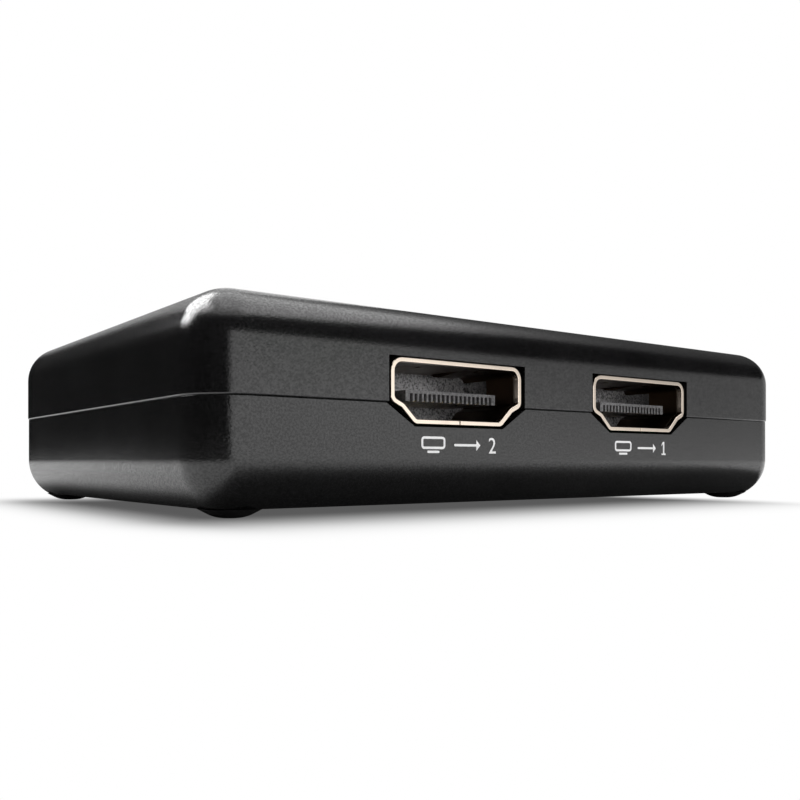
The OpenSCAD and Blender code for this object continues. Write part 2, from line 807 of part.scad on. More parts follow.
module electrolytic_capacitors() {
    base_s = 2 * (can_r + can_base_out);
    color([0.75, 0.75, 0.77]) on_board(can_places) {
        brick(base_s, base_s, can_base_h);
        translate([0, 0, can_base_h - bite]) cylinder(r = can_r, h = can_h - can_base_h + bite);
    }
}

module ceramic_capacitors() {
    rows = 5;
    row_step = small_w + part_gap;
    places = [for (sx = [-1, 1], c = [0:capacitor_columns - 1], k = [0:rows - 1])
        [output_mid + sx * (capacitor_x + c * capacitor_step), (k - (rows - 1) / 2) * row_step]];
    color([0.66, 0.54, 0.4]) on_board(places) brick(small_l, small_w, capacitor_t);
}

// Parts behind the solder tails of each socket, at places along the row
module behind_sockets(places) {
    at_sockets() for (x = places) translate([x, array_back, board_top - socket_h]) children();
}

module protection_arrays() {
    step = array_size[0] + array_gap;
    places = [for (k = [0:array_count - 1]) (k - (array_count - 1) / 2) * step];
    color([0.1, 0.1, 0.1]) behind_sockets(places) brick(array_size[0], array_size[1], array_size[2]);
}

module resistors() {
    first = array_row / 2 + small_gap + small_w / 2;
    places = [for (sx = [-1, 1], k = [0, 1]) sx * (first + k * (small_w + small_gap))];
    color([0.12, 0.12, 0.13]) behind_sockets(places) brick(small_w, small_l, resistor_t);
}

module crystal() {
    color([0.72, 0.72, 0.7]) on_board([crystal_place])
        brick(crystal_size[0], crystal_size[1], crystal_size[2]);
}

module status_lamps() {
    color([0.92, 0.9, 0.8]) on_board(lamp_places()) {
        brick(lamp_l, lamp_w, lamp_base_t);
        translate([0, 0, lamp_base_t - bite / 2])
            brick(lamp_l * 0.6, lamp_w, lamp_t - lamp_base_t + bite / 2);
    }
}

module light_guide() {
    rod_start = board_top + lamp_t + 4 * fit_gap;
    bar_l = 2 * lamp_pitch + 4 * rod_r;
    color([0.85, 0.88, 0.9]) on_feet() {
        for (p = lamp_places()) translate([p[0], p[1], rod_start])
            cylinder(r = rod_r, h = case_h - rod_start);
        translate([output_mid, lamp_y, roof_h - bar_t]) brick(bar_l, bar_w, bar_t);
    }
}

top_cover();
bottom_cover();
rubber_feet();
case_screws();
main_board();
output_1_shell();
output_1_insulator();
output_1_contacts();
output_1_upper_fingers();
output_1_lower_fingers();
output_2_shell();
output_2_insulator();
output_2_contacts();
output_2_upper_fingers();
output_2_lower_fingers();
input_shell();
input_insulator();
input_contacts();
input_upper_fingers();
input_lower_fingers();
power_jack_body();
power_jack_pin();
power_jack_leaf();
splitter_chip();
memory_chip();
control_chip();
voltage_regulators();
choke();
electrolytic_capacitors();
ceramic_capacitors();
resistors();
crystal();
protection_arrays();
status_lamps();
light_guide();
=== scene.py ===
"""Splitter box for video cables, dressed in Blender around its packed frame."""

import json
import math

import bmesh
import bpy
from bpy.props import FloatProperty, FloatVectorProperty, IntProperty, PointerProperty
from mathutils import Matrix, Vector


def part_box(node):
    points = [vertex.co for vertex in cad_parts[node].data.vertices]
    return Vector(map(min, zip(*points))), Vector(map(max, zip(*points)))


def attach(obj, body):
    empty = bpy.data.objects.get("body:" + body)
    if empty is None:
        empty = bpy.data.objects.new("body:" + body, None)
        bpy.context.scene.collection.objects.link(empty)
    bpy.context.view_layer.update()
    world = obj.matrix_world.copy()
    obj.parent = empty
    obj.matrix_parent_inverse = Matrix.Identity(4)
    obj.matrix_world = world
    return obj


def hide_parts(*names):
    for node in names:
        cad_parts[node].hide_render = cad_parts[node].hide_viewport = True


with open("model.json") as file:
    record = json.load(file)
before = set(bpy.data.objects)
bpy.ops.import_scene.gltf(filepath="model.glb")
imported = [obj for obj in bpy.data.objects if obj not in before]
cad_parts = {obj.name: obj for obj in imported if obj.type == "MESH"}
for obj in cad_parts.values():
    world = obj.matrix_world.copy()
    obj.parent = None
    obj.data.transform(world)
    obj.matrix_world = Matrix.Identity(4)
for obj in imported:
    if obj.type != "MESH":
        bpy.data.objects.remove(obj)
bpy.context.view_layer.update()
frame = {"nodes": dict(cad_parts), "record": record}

bl_info = {
    "name": "Splitter Box",
    "version": (1, 0, 0),
    "blender": (4, 5, 0),
    "location": "View3D > Sidebar > Splitter",
    "description": "Models the case, sockets, feet, marks and finishes of a splitter box",
    "category": "Object",
}

MM = 0.001
NODES = frame["nodes"]
SLOT_OF = {part["node"]: part["material_slot"] for part in frame["record"]["subparts"]}
CASE_BODY = "case"
SOCKETS = ("output_1", "output_2", "input")
UP = Vector((0, 0, 1))

# Angles and distances that tell edges and points apart
SHARP = math.radians(26)
STEEP = math.radians(50)
MERGE = 0.0002 * MM
ON_FACE = 0.002 * MM
ON_OUTLINE = 0.003 * MM

# Camera at the photograph's view, in millimetres for the lens and metres for its place
SENSOR = 36.0
FOCAL_LENGTH = 37.89
LENS_SHIFT = (0.0744, 0.0783)
CAMERA_PLACE = (-0.06246, -0.07641, 0.00416)
CAMERA_TURN = (math.radians(90), 0, math.radians(-34.8))

# Studio cards: how the front one fades to the right, and the brightness of the dark ones
FADE_START, FADE_STOP = math.radians(40), math.radians(66)
FADE_SKEW = 4.0
FADE_SHARE = 0.66
DIM_LOW, DIM_RISE = 0.08, 0.5
DIM_START, DIM_STOP = 0.24, 0.56
BLACK_CARD = 0.012
GREY_CARD = 0.42
FLOOR_HALF = 12.0

# Materials
PRINT = "mark_print"
JACK = "jack_black"
# Painted shade: the dark colour painted inside a socket shell
PAINTED_SHADE_PLATING = (0.075, 0.048, 0.03)
DUST = (0.35, 0.34, 0.33)
# Distances behind a socket's mouth where the painted shade inside a shell starts and is full
PAINTED_SHADE_START, PAINTED_SHADE_FULL = 0.3 * MM, 0.75 * MM
# Painted light: distances behind a socket's mouth over which the insulator turns paler, and how much paler
PAINTED_LIGHT_START, PAINTED_LIGHT_STOP = 4 * MM, 6 * MM
PAINTED_LIGHT_TINT = 4.5
FIBRE_LIGHT, FIBRE_DARK = (0.35, 0.32, 0.16), (0.22, 0.2, 0.1)
EVEN = (1, 1, 1)
ALONG_X = (0.15, 1, 1)
ALONG_Y = (1, 0.08, 1)
ALONG_Z = (1, 1, 0.1)

CASE_LOW, CASE_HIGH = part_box("top_cover")
LOWER_LOW, LOWER_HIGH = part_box("bottom_cover")
FEET_LOW, FEET_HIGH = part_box("rubber_feet")
BOARD_LOW, BOARD_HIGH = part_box("main_board")
JACK_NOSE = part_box("power_jack_body")[1].y
MOUTH_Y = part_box("input_shell")[1].y


def middle(node):
    """Centre of a node's box."""
    low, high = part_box(node)
    return (low + high) / 2


# Settings that a user would change


def length(name, description, millimetres):
    """A property for a length, with its default in millimetres."""
    return FloatProperty(name=name, description=description, default=millimetres * MM, unit="LENGTH",
                         precision=5)


def flat_size(name, description, millimetres):
    """A property for a place or size on the floor, with its defaults in millimetres."""
    return FloatVectorProperty(name=name, description=description, size=2, unit="LENGTH", precision=5,
                               default=[value * MM for value in millimetres])


def colour(name, description, default):
    """A property for a colour."""
    return FloatVectorProperty(name=name, description=description, default=default, size=3,
                               subtype="COLOR", min=0.0, max=1.0)


def share(name, description, default):
    """A property for a number from 0 to 1."""
    return FloatProperty(name=name, description=description, default=default, min=0.0, max=1.0,
                         subtype="FACTOR")


def level(name, description, default):
    """A property for a brightness or another number that isn't negative."""
    return FloatProperty(name=name, description=description, default=default, min=0.0)


class SplitterCase(bpy.types.PropertyGroup):
    """Sizes of the two halves of the case"""

    seam: length("Seam height", "Height of the parting line above the table", 8.95)
    wall: length("Wall", "Thickness of the walls", 1.8)
    corner: length("Corner radius", "Radius of the upright corners of the upper half", 4.0)
    top_round: length("Top round", "Radius of the round along the top edge", 3.85)
    bottom_round: length("Bottom round", "Radius of the round along the bottom edge", 4.35)
    bottom_turn: FloatProperty(name="Bottom turn", description="Turn of the round before the underside",
                               default=math.radians(60), subtype="ANGLE")
    steps: IntProperty(name="Steps", description="Facets of a corner and of a round", default=16, min=4)
    lip: length("Lip", "Thickness of the locating lip", 0.8)
    lip_rise: length("Lip rise", "Height of the locating lip", 1.2)
    fit: length("Fit", "Gap between pieces that are put together", 0.1)
    edge: length("Edge", "Softness of the edges of the apertures", 0.1)
    upper_edge: length("Upper seam edge", "Round along the seam of the upper half", 0.17)
    lower_edge: length("Lower seam edge", "Round along the seam of the lower half", 0.06)
    jack_edge: length("Jack edge", "Softness of the edge of the power jack's aperture", 0.05)


class SplitterFittings(bpy.types.PropertyGroup):
    """Sizes of the sockets, jack, feet and columns"""

    shell_half: length("Shell half height", "Half the height of a socket shell", 2.675)
    gap_over: length("Upper gap", "Gap over a socket in its aperture", 0.06)
    gap_under: length("Lower gap", "Gap under a socket in its aperture", 0.22)
    top_half: length("Upper half width", "Half the width of an aperture over the seam", 7.7)
    seam_half: length("Seam half width", "Half the width of an aperture just under the seam", 7.95)
    bottom_half: length("Lower half width", "Half the width of an aperture at its bottom", 5.0)
    jack_radius: length("Jack aperture", "Radius of the power jack's aperture", 3.05)
    jack_rise: length("Jack rise", "Height of the power jack's axis above the board", 2.9)
    lamp_radius: length("Lamp hole", "Radius of the holes for the light guide", 1.05)
    lamp_pitch: length("Lamp pitch", "Distance between the lamps", 3.5)
    rim: length("Rim", "Softness of the rim of a socket shell", 0.07)
    opening_half: length("Opening half width", "Half the width of a socket's opening", 7.0)
    opening_depth: length("Opening depth", "Depth of a socket's opening", 7.0)
    cheek: length("Cheek", "Thickness of the moulded cheeks at the sides of an opening", 0.04)
    cheek_start: length("Cheek start", "Distance of the cheeks behind the mouth", 4.0)
    cheek_low: length("Cheek bottom", "Lower edge of the cheeks from the middle of the socket", -0.5)
    cheek_high: length("Cheek top", "Upper edge of the cheeks from the middle of the socket", 1.75)
    foot_tip: length("Foot tip", "Radius of the flat tip of a foot", 1.15)
    foot_edge: length("Foot edge", "Softness of the edge of a foot's tip", 0.6)
    foot_stem: length("Foot stem", "Radius of the stem of a foot", 2.0)
    foot_radius: length("Foot radius", "Radius of a foot at the case", 2.5)
    foot_height: length("Foot height", "Height of a foot under the case", 0.7)
    column: length("Column", "Radius of the screw columns", 3.0)
    boss: length("Boss", "Radius of the screw bosses beside the lip", 2.5)
    post: length("Post", "Radius of the posts that hold the board", 1.8)
    post_x: length("Post place", "Sideways place of the posts", 28.0)
    post_y: length("Post depth", "Place of the posts along the depth", 13.0)
    peg: length("Peg", "Radius of the pegs on the posts", 0.75)
    peg_hole: length("Peg hole", "Depth of the holes for the pegs", 1.2)
    screw: length("Screw", "Radius of the screw holes", 1.02)
    head: length("Head bore", "Radius of the bores for the screw heads", 2.05)
    seat: length("Screw seat", "Height of the screw seats above the underside", 2.6)


class SplitterMarks(bpy.types.PropertyGroup):
    """Sizes of the printed marks under the outputs"""

    height: length("Height", "Height of a row of marks", 1.36)
    bottom: length("Bottom", "Height of the lower edge of the marks above the table", 4.95)
    screen: length("Screen", "Width of the screen sign", 2.6)
    arrow: length("Arrow", "Length of the arrow", 3.0)
    line: length("Line", "Width of the printed lines", 0.2)
    gap: length("Gap", "Gap between the signs", 1.0)
    film: length("Film", "Thickness of the print", 0.02)
    shift: length("Shift", "Sideways place of the marks from the middle of the socket", -0.1)


class SplitterColours(bpy.types.PropertyGroup):
    """Colours of the finishes"""

    case: colour("Case", "Black moulding of the case", (0.005, 0.005, 0.0052))
    rubber: colour("Rubber", "Rubber of the feet", (0.010, 0.010, 0.010))
    gold: colour("Gold", "Pale gold plating of the shells", (0.97, 0.84, 0.71))
    contact: colour("Contact", "Gold of the contacts", (0.90, 0.70, 0.36))
    insulator: colour("Insulator", "Moulding inside the sockets", (0.106, 0.104, 0.106))
    mask: colour("Solder mask", "Green mask of the board", (0.010, 0.105, 0.035))
    print_white: colour("Print", "White print of the marks", (0.88, 0.88, 0.88))


class SplitterStage(bpy.types.PropertyGroup):
    """Light and floor"""

    ambient: share("Ambient", "Strength of the world on matt surfaces", 0.2)
    key: level("Key", "Brightness of the softbox behind on the left", 3.7)
    glow: level("Glow", "Brightness of the softbox beside the key, for gloss", 1.75)
    overhead: level("Overhead", "Brightness of the softbox above", 0.72)
    reflector: level("Reflector", "Brightness of the card in front", 1.22)
    fill: level("Fill", "Brightness of the lamp in front, for matt surfaces", 9.0)
    floor: colour("Floor", "Floor away from the object", (0.88, 0.88, 0.88))
    # Painted shadow: the dark floor colour under and around the object, which every ray sees
    contact: colour("Contact", "Floor under the object", (0.12, 0.12, 0.12))
    # Painted shadow on the floor as the camera sees it: its least brightness, where it is deepest and where
    # it ends
    pale: share("Pale", "Least brightness of the floor as the camera sees it", 0.1)
    shadow_in: length("Shadow start", "Distance inside its outline where the shadow is deepest", 6.5)
    shadow_out: length("Shadow end", "Distance outside its outline where the shadow ends", 18.0)
    shadow_place: flat_size("Shadow place", "Middle of the shadow on the floor", (-7.9, -4.0))
    shadow_half: flat_size("Shadow half size", "Half the width and depth of the shadow", (30.6, 20.0))
    shadow_pinch: level("Shadow pinch", "Steepness of the shadow at its two ends", 2.0)
    # Outline of the painted shadow in the floor's own colour
    painted_dark_floor_place: flat_size("Contact place", "Middle of the dark floor", (3.0, 0.0))
    painted_dark_floor_half: flat_size("Contact half size", "Half the width and depth of the dark floor", (38.7, 24.0))
    painted_dark_floor_pinch: level("Contact pinch", "Steepness of the dark floor at its two ends", 6.0)
    near: length("Near", "Distance at which the floor starts to be the backdrop", 8.0)
    far: length("Far", "Distance at which the floor is the backdrop", 70.0)
    card: length("Card distance", "Distance of the cards in front and behind", 400.0)
    flag: length("Flag distance", "Distance of the dark cards on the left", 150.0)
    flag_foot: length("Flag foot", "Distance of the lower edge of the dark cards that lean out", 80.0)


# Shader nodes


class Value:
    """A shader socket that takes part in Python sums"""

    def __init__(self, tree, socket):
        self.tree = tree
        self.socket = socket

    def math(self, operation, first, second):
        node = self.tree.nodes.new("ShaderNodeMath")
        node.operation = operation
        for place, item in zip(node.inputs, (first, second)):
            join(self.tree, item, place)
        return Value(self.tree, node.outputs[0])

    def __add__(self, other):
        return self.math("ADD", self, other)

    def __radd__(self, other):
        return self.math("ADD", other, self)

    def __sub__(self, other):
        return self.math("SUBTRACT", self, other)

    def __rsub__(self, other):
        return self.math("SUBTRACT", other, self)

    def __mul__(self, other):
        return self.math("MULTIPLY", self, other)

    def __rmul__(self, other):
        return self.math("MULTIPLY", other, self)

    def __gt__(self, other):
        return self.math("GREATER_THAN", self, other)

    def __lt__(self, other):
        return self.math("LESS_THAN", self, other)


def join(tree, item, place):
    """Links a value to a socket, or sets the socket to a number or colour."""
    if isinstance(item, Value):
        tree.links.new(item.socket, place)
    elif isinstance(item, (int, float)) or len(item) == len(place.default_value):
        place.default_value = item
    else:
        place.default_value = (*item, 1.0)


class Shade:
    """The nodes of one material or world"""

    def __init__(self, owner):
        owner.use_nodes = True
        self.tree = owner.node_tree
        self.tree.nodes.clear()
        self.world = isinstance(owner, bpy.types.World)

    def add(self, kind, settings=None, sockets=None, out=0):
        """One node: its type, its settings, the values or links of its sockets, and the output to use."""
        node = self.tree.nodes.new("ShaderNode" + kind)
        for name, setting in (settings or {}).items():
            setattr(node, name, setting)
        for key, item in (sockets or {}).items():
            join(self.tree, item, node.inputs[key])
        return Value(self.tree, node.outputs[out]) if node.outputs else None

    def point(self):
        """Place on the object, in metres."""
        return self.add("TexCoord", out="Object")

    def axis(self, number):
        """One coordinate of the place on the object."""
        return self.add("SeparateXYZ", sockets={0: self.point()}, out=number)

    def noise(self, scale, detail=2.0, stretch=EVEN):
        """Cloudy noise from 0 to 1, with its scale per metre."""
        place = self.add("Mapping", sockets={"Vector": self.point(), "Scale": stretch})
        return self.add("TexNoise", sockets={"Vector": place, "Scale": scale, "Detail": detail})

    def between(self, value, low, high):
        """A smooth rise from 0 at low to 1 at high."""
        return self.add("MapRange", {"interpolation_type": "SMOOTHSTEP"},
                        {"Value": value, "From Min": low, "From Max": high})

    def blend(self, mask, first, second):
        """A colour between two others."""
        return self.add("Mix", {"data_type": "RGBA"}, {0: mask, 6: first, 7: second}, out=2)

    def flags(self):
        """1 for the rays that see the backdrop: from the camera, from gloss and through clear plastic."""
        seen = self.add("LightPath", out="Is Camera Ray")
        for name in ("Is Glossy Ray", "Is Transmission Ray"):
            seen = seen + self.add("LightPath", out=name)
        return self.add("Clamp", sockets={"Value": seen})

    def bump(self, height, depth):
        """A normal for small relief of that depth in metres."""
        return self.add("Bump", sockets={"Height": height, "Distance": depth}, out="Normal")

    def principled(self, sockets):
        """The usual surface, led to the output."""
        self.output(self.add("BsdfPrincipled", sockets=sockets))

    def output(self, surface):
        """Leads a shader to the output."""
        self.add("OutputWorld" if self.world else "OutputMaterial", sockets={"Surface": surface})


def tinted(rgb, factor):
    """A colour made lighter or darker."""
    return tuple(min(1.0, channel * factor) for channel in rgb)


def off_mouth(shade):
    """Distance behind the mouths of the sockets, in nodes."""
    return MOUTH_Y - shade.add("Math", {"operation": "ABSOLUTE"}, {0: shade.axis(1)})


def moulded(shade, rgb, rough, grain, depth, mottle=0.3, speck=0.0, shine=0.5, peel=0.5, glint=0.0,
            painted_light_back=False):
    """Moulded plastic, rubber or ceramic: fine grain, uneven gloss, dust, and painted light that makes it
    paler further inside a socket.
    """
    cloud = shade.noise(90.0, 3.0)
    fine = shade.noise(grain, 3.0)
    waves = shade.noise(grain / 4, 2.0)
    tone = shade.between(0.35 * cloud + 0.65 * fine, 0.3, 0.7)
    base = shade.blend(tone, tinted(rgb, 1 - mottle), tinted(rgb, 1 + mottle))
    if speck:
        dots = shade.between(shade.noise(grain * 0.7, 1.0), 0.66, 0.8)
        base = shade.blend(dots * speck, base, DUST)
    # Painted light: the insulator's back is made paler, as if lit, further inside a socket
    if painted_light_back:
        painted_by_depth = shade.between(off_mouth(shade), PAINTED_LIGHT_START, PAINTED_LIGHT_STOP)
        base = shade.blend(painted_by_depth * shade.between(fine, 0.3, 0.7), base, tinted(rgb, PAINTED_LIGHT_TINT))
    smear = shade.between(shade.noise(160.0, 4.0), 0.35, 0.75)
    gloss = rough * 0.9 + rough * 0.16 * smear + rough * 0.18 * fine
    spots = shade.between(shade.noise(grain * 0.9, 1.0), 0.35, 0.65)
    shade.principled({"Base Color": base, "Roughness": gloss, "Specular IOR Level": shine,
                      "Coat Weight": glint * spots, "Coat Roughness": rough,
                      "Normal": shade.bump(fine + waves * peel, depth)})


def plated(shade, rgb, rough, stretch, depth, painted_shade_inside=False):
    """Plated or bare metal: drawn lines, small pits and dull patches, and painted shade inside a socket."""
    lines = shade.noise(900.0, 3.0, stretch)
    pits = shade.noise(5200.0, 2.0)
    dull = shade.between(shade.noise(420.0, 3.0), 0.45, 0.8)
    base = shade.blend(dull * 0.5, rgb, tinted(rgb, 0.78))
    gloss = rough * 0.8 + rough * 0.3 * lines + rough * 0.5 * dull
    if painted_shade_inside:
        # Painted shade: the plating turns dark a little way behind the mouth, where shade falls inside a
        # socket
        painted_by_depth = shade.between(off_mouth(shade) + 0.05 * MM * lines, PAINTED_SHADE_START, PAINTED_SHADE_FULL)
        base = shade.blend(painted_by_depth, base, PAINTED_SHADE_PLATING)
        gloss = gloss + 0.2 * painted_by_depth
    shade.principled({"Base Color": base, "Metallic": 1.0, "Roughness": gloss,
                      "Normal": shade.bump(lines + pits * 0.5, depth)})


def solder_masked(shade, rgb):
    """Board: green mask over copper tracks, bare glass fibre along the cut edges."""
    z = shade.axis(2)
    weave_x = shade.add("TexWave", {"bands_direction": "X"}, {"Vector": shade.point(), "Scale": 420.0})
    weave_y = shade.add("TexWave", {"bands_direction": "Y"}, {"Vector": shade.point(), "Scale": 420.0})
    weave = weave_x * weave_y
    bricks = {"Vector": shade.point(), "Scale": 330.0, "Mortar Size": 0.11, "Bias": -0.4}
    grid = shade.add("TexBrick", {"offset": 0.5}, bricks, out="Fac")
    land = shade.between(shade.noise(260.0, 1.0), 0.47, 0.5)
    copper = shade.between(grid + land, 0.4, 0.6)
    mask = shade.blend(copper, tinted(rgb, 0.75), tinted(rgb, 1.5))
    mask = shade.blend(weave * 0.25, mask, tinted(rgb, 2.0))
    edge = (z > BOARD_LOW.z + 0.03 * MM) * (z < BOARD_HIGH.z - 0.03 * MM)
    fibre = shade.blend(shade.noise(3000.0, 3.0), FIBRE_LIGHT, FIBRE_DARK)
    shade.principled({"Base Color": shade.blend(edge, mask, fibre),
                      "Roughness": 0.28 + 0.35 * edge + 0.08 * shade.noise(700.0),
                      "Normal": shade.bump(copper + weave * 0.3, 0.02 * MM)})


def frosted(shade, rgb):
    """Clear plastic of the light guide with a finely etched surface."""
    etch = shade.noise(7000.0, 3.0)
    shade.principled({"Base Color": shade.blend(shade.noise(500.0), rgb, tinted(rgb, 0.86)),
                      "Roughness": 0.3 + 0.2 * etch, "Transmission Weight": 0.35, "IOR": 1.49,
                      "Normal": shade.bump(etch, 0.006 * MM)})


def printed(shade, rgb):
    """Pad print: matt ink that is a little thin in places."""
    thin = shade.between(shade.noise(6000.0, 3.0), 0.62, 0.8)
    shade.principled({"Base Color": shade.blend(thin * 0.35, rgb, tinted(rgb, 0.4)),
                      "Roughness": 0.5 + 0.15 * shade.noise(4000.0),
                      "Normal": shade.bump(shade.noise(5000.0), 0.003 * MM)})


def finish(slot):
    """The material of a slot, made once."""
    found = bpy.data.materials.get("finish_" + slot)
    if found:
        return found
    colours = bpy.context.scene.splitter_colours
    material = bpy.data.materials.new("finish_" + slot)
    shade = Shade(material)
    if slot == "case_black":
        moulded(shade, colours.case, rough=0.18, grain=6500.0, depth=0.014 * MM, mottle=0.9, speck=0.05,
                shine=0.68, peel=0.1, glint=0.55)
    elif slot == "rubber_black":
        moulded(shade, colours.rubber, rough=0.72, grain=4000.0, depth=0.02 * MM)
    elif slot == "insulator_black":
        moulded(shade, colours.insulator, rough=0.5, grain=5000.0, depth=0.012 * MM, mottle=0.6, speck=0.5,
                painted_light_back=True)
    elif slot == JACK:
        moulded(shade, (0.02, 0.02, 0.021), rough=0.4, grain=5000.0, depth=0.012 * MM, mottle=0.4,
                speck=0.04)
    elif slot == "chip_black":
        moulded(shade, (0.022, 0.022, 0.024), rough=0.55, grain=6000.0, depth=0.01 * MM, mottle=0.2,
                speck=0.1)
    elif slot == "choke_ferrite":
        moulded(shade, (0.06, 0.06, 0.063), rough=0.6, grain=3500.0, depth=0.03 * MM, mottle=0.35,
                speck=0.2)
    elif slot == "ceramic_tan":
        moulded(shade, (0.42, 0.3, 0.18), rough=0.42, grain=5000.0, depth=0.01 * MM, mottle=0.12)
    elif slot == "lamp_cream":
        moulded(shade, (0.82, 0.76, 0.55), rough=0.25, grain=4000.0, depth=0.006 * MM, mottle=0.08)
    elif slot == "gold_plate":
        plated(shade, colours.gold, rough=0.15, stretch=ALONG_Y, depth=0.002 * MM, painted_shade_inside=True)
    elif slot == "contact_gold":
        plated(shade, colours.contact, rough=0.24, stretch=ALONG_Y, depth=0.002 * MM)
    elif slot == "spring_nickel":
        plated(shade, (0.72, 0.69, 0.62), rough=0.26, stretch=ALONG_Y, depth=0.003 * MM)
    elif slot == "screw_steel":
        plated(shade, (0.58, 0.58, 0.6), rough=0.34, stretch=EVEN, depth=0.006 * MM)
    elif slot == "can_aluminium":
        plated(shade, (0.74, 0.74, 0.76), rough=0.32, stretch=ALONG_Z, depth=0.004 * MM)
    elif slot == "crystal_metal":
        plated(shade, (0.66, 0.65, 0.62), rough=0.22, stretch=ALONG_X, depth=0.003 * MM)
    elif slot == "board_green":
        solder_masked(shade, colours.mask)
    elif slot == "guide_clear":
        frosted(shade, (0.78, 0.82, 0.84))
    elif slot == PRINT:
        printed(shade, colours.print_white)
    else:
        raise RuntimeError("there is no finish for the slot " + slot)
    return material


# Mesh tools


def placed(name, data):
    """A new object in the scene that holds a mesh, text, lamp or camera."""
    holder = bpy.data.objects.new(name, data)
    bpy.context.scene.collection.objects.link(holder)
    return holder


def mesh_of(bm, name):
    """A mesh made from a bmesh, which is freed."""
    mesh = bpy.data.meshes.new(name)
    bm.to_mesh(mesh)
    bm.free()
    return mesh


def verts_of(items):
    """The vertices among a bmesh's items."""
    return [item for item in items if isinstance(item, bmesh.types.BMVert)]


def rounded_plate(bm, width, depth, radius, steps):
    """A flat plate with round corners, facing up. Returns its face."""
    there = set(bm.faces)
    made = bmesh.ops.create_grid(bm, x_segments=1, y_segments=1, size=0.5)
    bmesh.ops.scale(bm, vec=(width, depth, 1), verts=made["verts"])
    bmesh.ops.bevel(bm, geom=made["verts"], offset=radius, offset_type="OFFSET", segments=steps,
                    profile=0.5, affect="VERTICES", material=-1)
    return (set(bm.faces) - there).pop()


def tray(width, depth, radius, straight, round_radius, turn, wall, steps):
    """Half a case that stands on its rim: upright side, round and flat end, with walls inwards."""
    bm = bmesh.new()
    end = rounded_plate(bm, width, depth, radius, steps)
    rises = [(0.0, straight)]
    for k in range(steps):
        start, stop = turn * k / steps, turn * (k + 1) / steps
        rises.append((round_radius * (math.cos(start) - math.cos(stop)),
                      round_radius * (math.sin(stop) - math.sin(start))))
    for inset, rise in rises:
        bmesh.ops.inset_region(bm, faces=[end], thickness=inset, depth=rise, use_even_offset=True,
                               use_boundary=True)
    bmesh.ops.solidify(bm, geom=bm.faces[:], thickness=wall)
    return bm


def block(bm, width, depth, radius, start, stop, steps):
    """A block with round upright corners between two heights."""
    face = rounded_plate(bm, width, depth, radius, steps)
    bmesh.ops.translate(bm, vec=(0, 0, stop), verts=face.verts)
    bmesh.ops.solidify(bm, geom=[face], thickness=stop - start)


def rod(bm, radius, place, reach, along=UP, segments=64):
    """A cylinder from a place along a direction."""
    turn = UP.rotation_difference(Vector(along)).to_matrix().to_4x4()
    matrix = Matrix.Translation(Vector(place) + Vector(along) * (reach / 2)) @ turn
    bmesh.ops.create_cone(bm, cap_ends=True, segments=segments, radius1=radius, radius2=radius,
                          depth=reach, matrix=matrix)


def slab(bm, outline, y, reach):
    """A solid along +Y from an outline in X and Z that runs anticlockwise seen from the front."""
    face = bm.faces.new([bm.verts.new((x, y, z)) for x, z in outline])
    face.normal_update()
    bmesh.ops.solidify(bm, geom=[face], thickness=reach)


def combined(body, tool, operation):
    """Joins or cuts one bmesh with another, and frees both."""
    bmesh.ops.recalc_face_normals(tool, faces=tool.faces[:])
    part = placed("part", mesh_of(body, "part"))
    other = placed("tool", mesh_of(tool, "tool"))
    modifier = part.modifiers.new("combine", "BOOLEAN")
    modifier.operation = operation
    modifier.solver = "EXACT"
    modifier.use_self = True
    modifier.object = other
    graph = bpy.context.evaluated_depsgraph_get()
    mesh = bpy.data.meshes.new_from_object(part.evaluated_get(graph))
    result = bmesh.new()
    result.from_mesh(mesh)
    bpy.data.meshes.remove(mesh)
    for holder in (part, other):
        held = holder.data
        bpy.data.objects.remove(holder)
        bpy.data.meshes.remove(held)
    bmesh.ops.remove_doubles(result, verts=result.verts[:], dist=MERGE)
    return result


def sharp_edges(bm, angle, wanted):
    """The edges over an angle whose two ends are both wanted."""
    return [edge for edge in bm.edges if edge.is_manifold and edge.calc_face_angle() > angle
            and wanted(edge.verts[0].co) and wanted(edge.verts[1].co)]


def soften(bm, edges, width, segments=3):
    """Rounds edges off."""
    bmesh.ops.bevel(bm, geom=edges, offset=width, offset_type="OFFSET", segments=segments, profile=0.5,
                    affect="EDGES", clamp_overlap=True, material=-1)


def copy_of(node):
    """A merged copy of a node's mesh, with its flat faces whole again."""
    bm = bmesh.new()
    bm.from_mesh(NODES[node].data)
    bmesh.ops.remove_doubles(bm, verts=bm.verts[:], dist=MERGE * 5)
    bmesh.ops.dissolve_limit(bm, angle_limit=math.radians(0.3), verts=bm.verts[:], edges=bm.edges[:])
    return bm


def softened_copy(node, axis, level, width):
    """A copy of a node whose sharp edges at one level along an axis are rounded off."""
    bm = copy_of(node)
    soften(bm, sharp_edges(bm, STEEP, lambda p: abs(p[axis] - level) < ON_FACE), width)
    return bm


def make_piece(name, bm, slot, replaced, material=None):
    """Turns a bmesh into a finished piece that rides on the case and stands for nodes."""
    for face in bm.faces:
        face.smooth = True
    for edge in bm.edges:
        edge.smooth = not edge.is_manifold or edge.calc_face_angle() < SHARP
    mesh = mesh_of(bm, name)
    mesh.materials.append(finish(material or slot))
    piece = placed(name, mesh)
    weights = piece.modifiers.new("even shading", "WEIGHTED_NORMAL")
    weights.keep_sharp = True
    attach(piece, CASE_BODY)
    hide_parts(*replaced)


def dress(nodes):
    """Gives carried-over nodes the finish of their slots."""
    for node in nodes:
        materials = NODES[node].data.materials
        materials.clear()
        materials.append(finish(SLOT_OF[node]))


# Places shared by several pieces


def corner_places():
    """Places of the feet and screws."""
    radius = bpy.context.scene.splitter_fittings.foot_radius
    return [(x, y) for x in (FEET_LOW.x + radius, FEET_HIGH.x - radius)
            for y in (FEET_LOW.y + radius, FEET_HIGH.y - radius)]


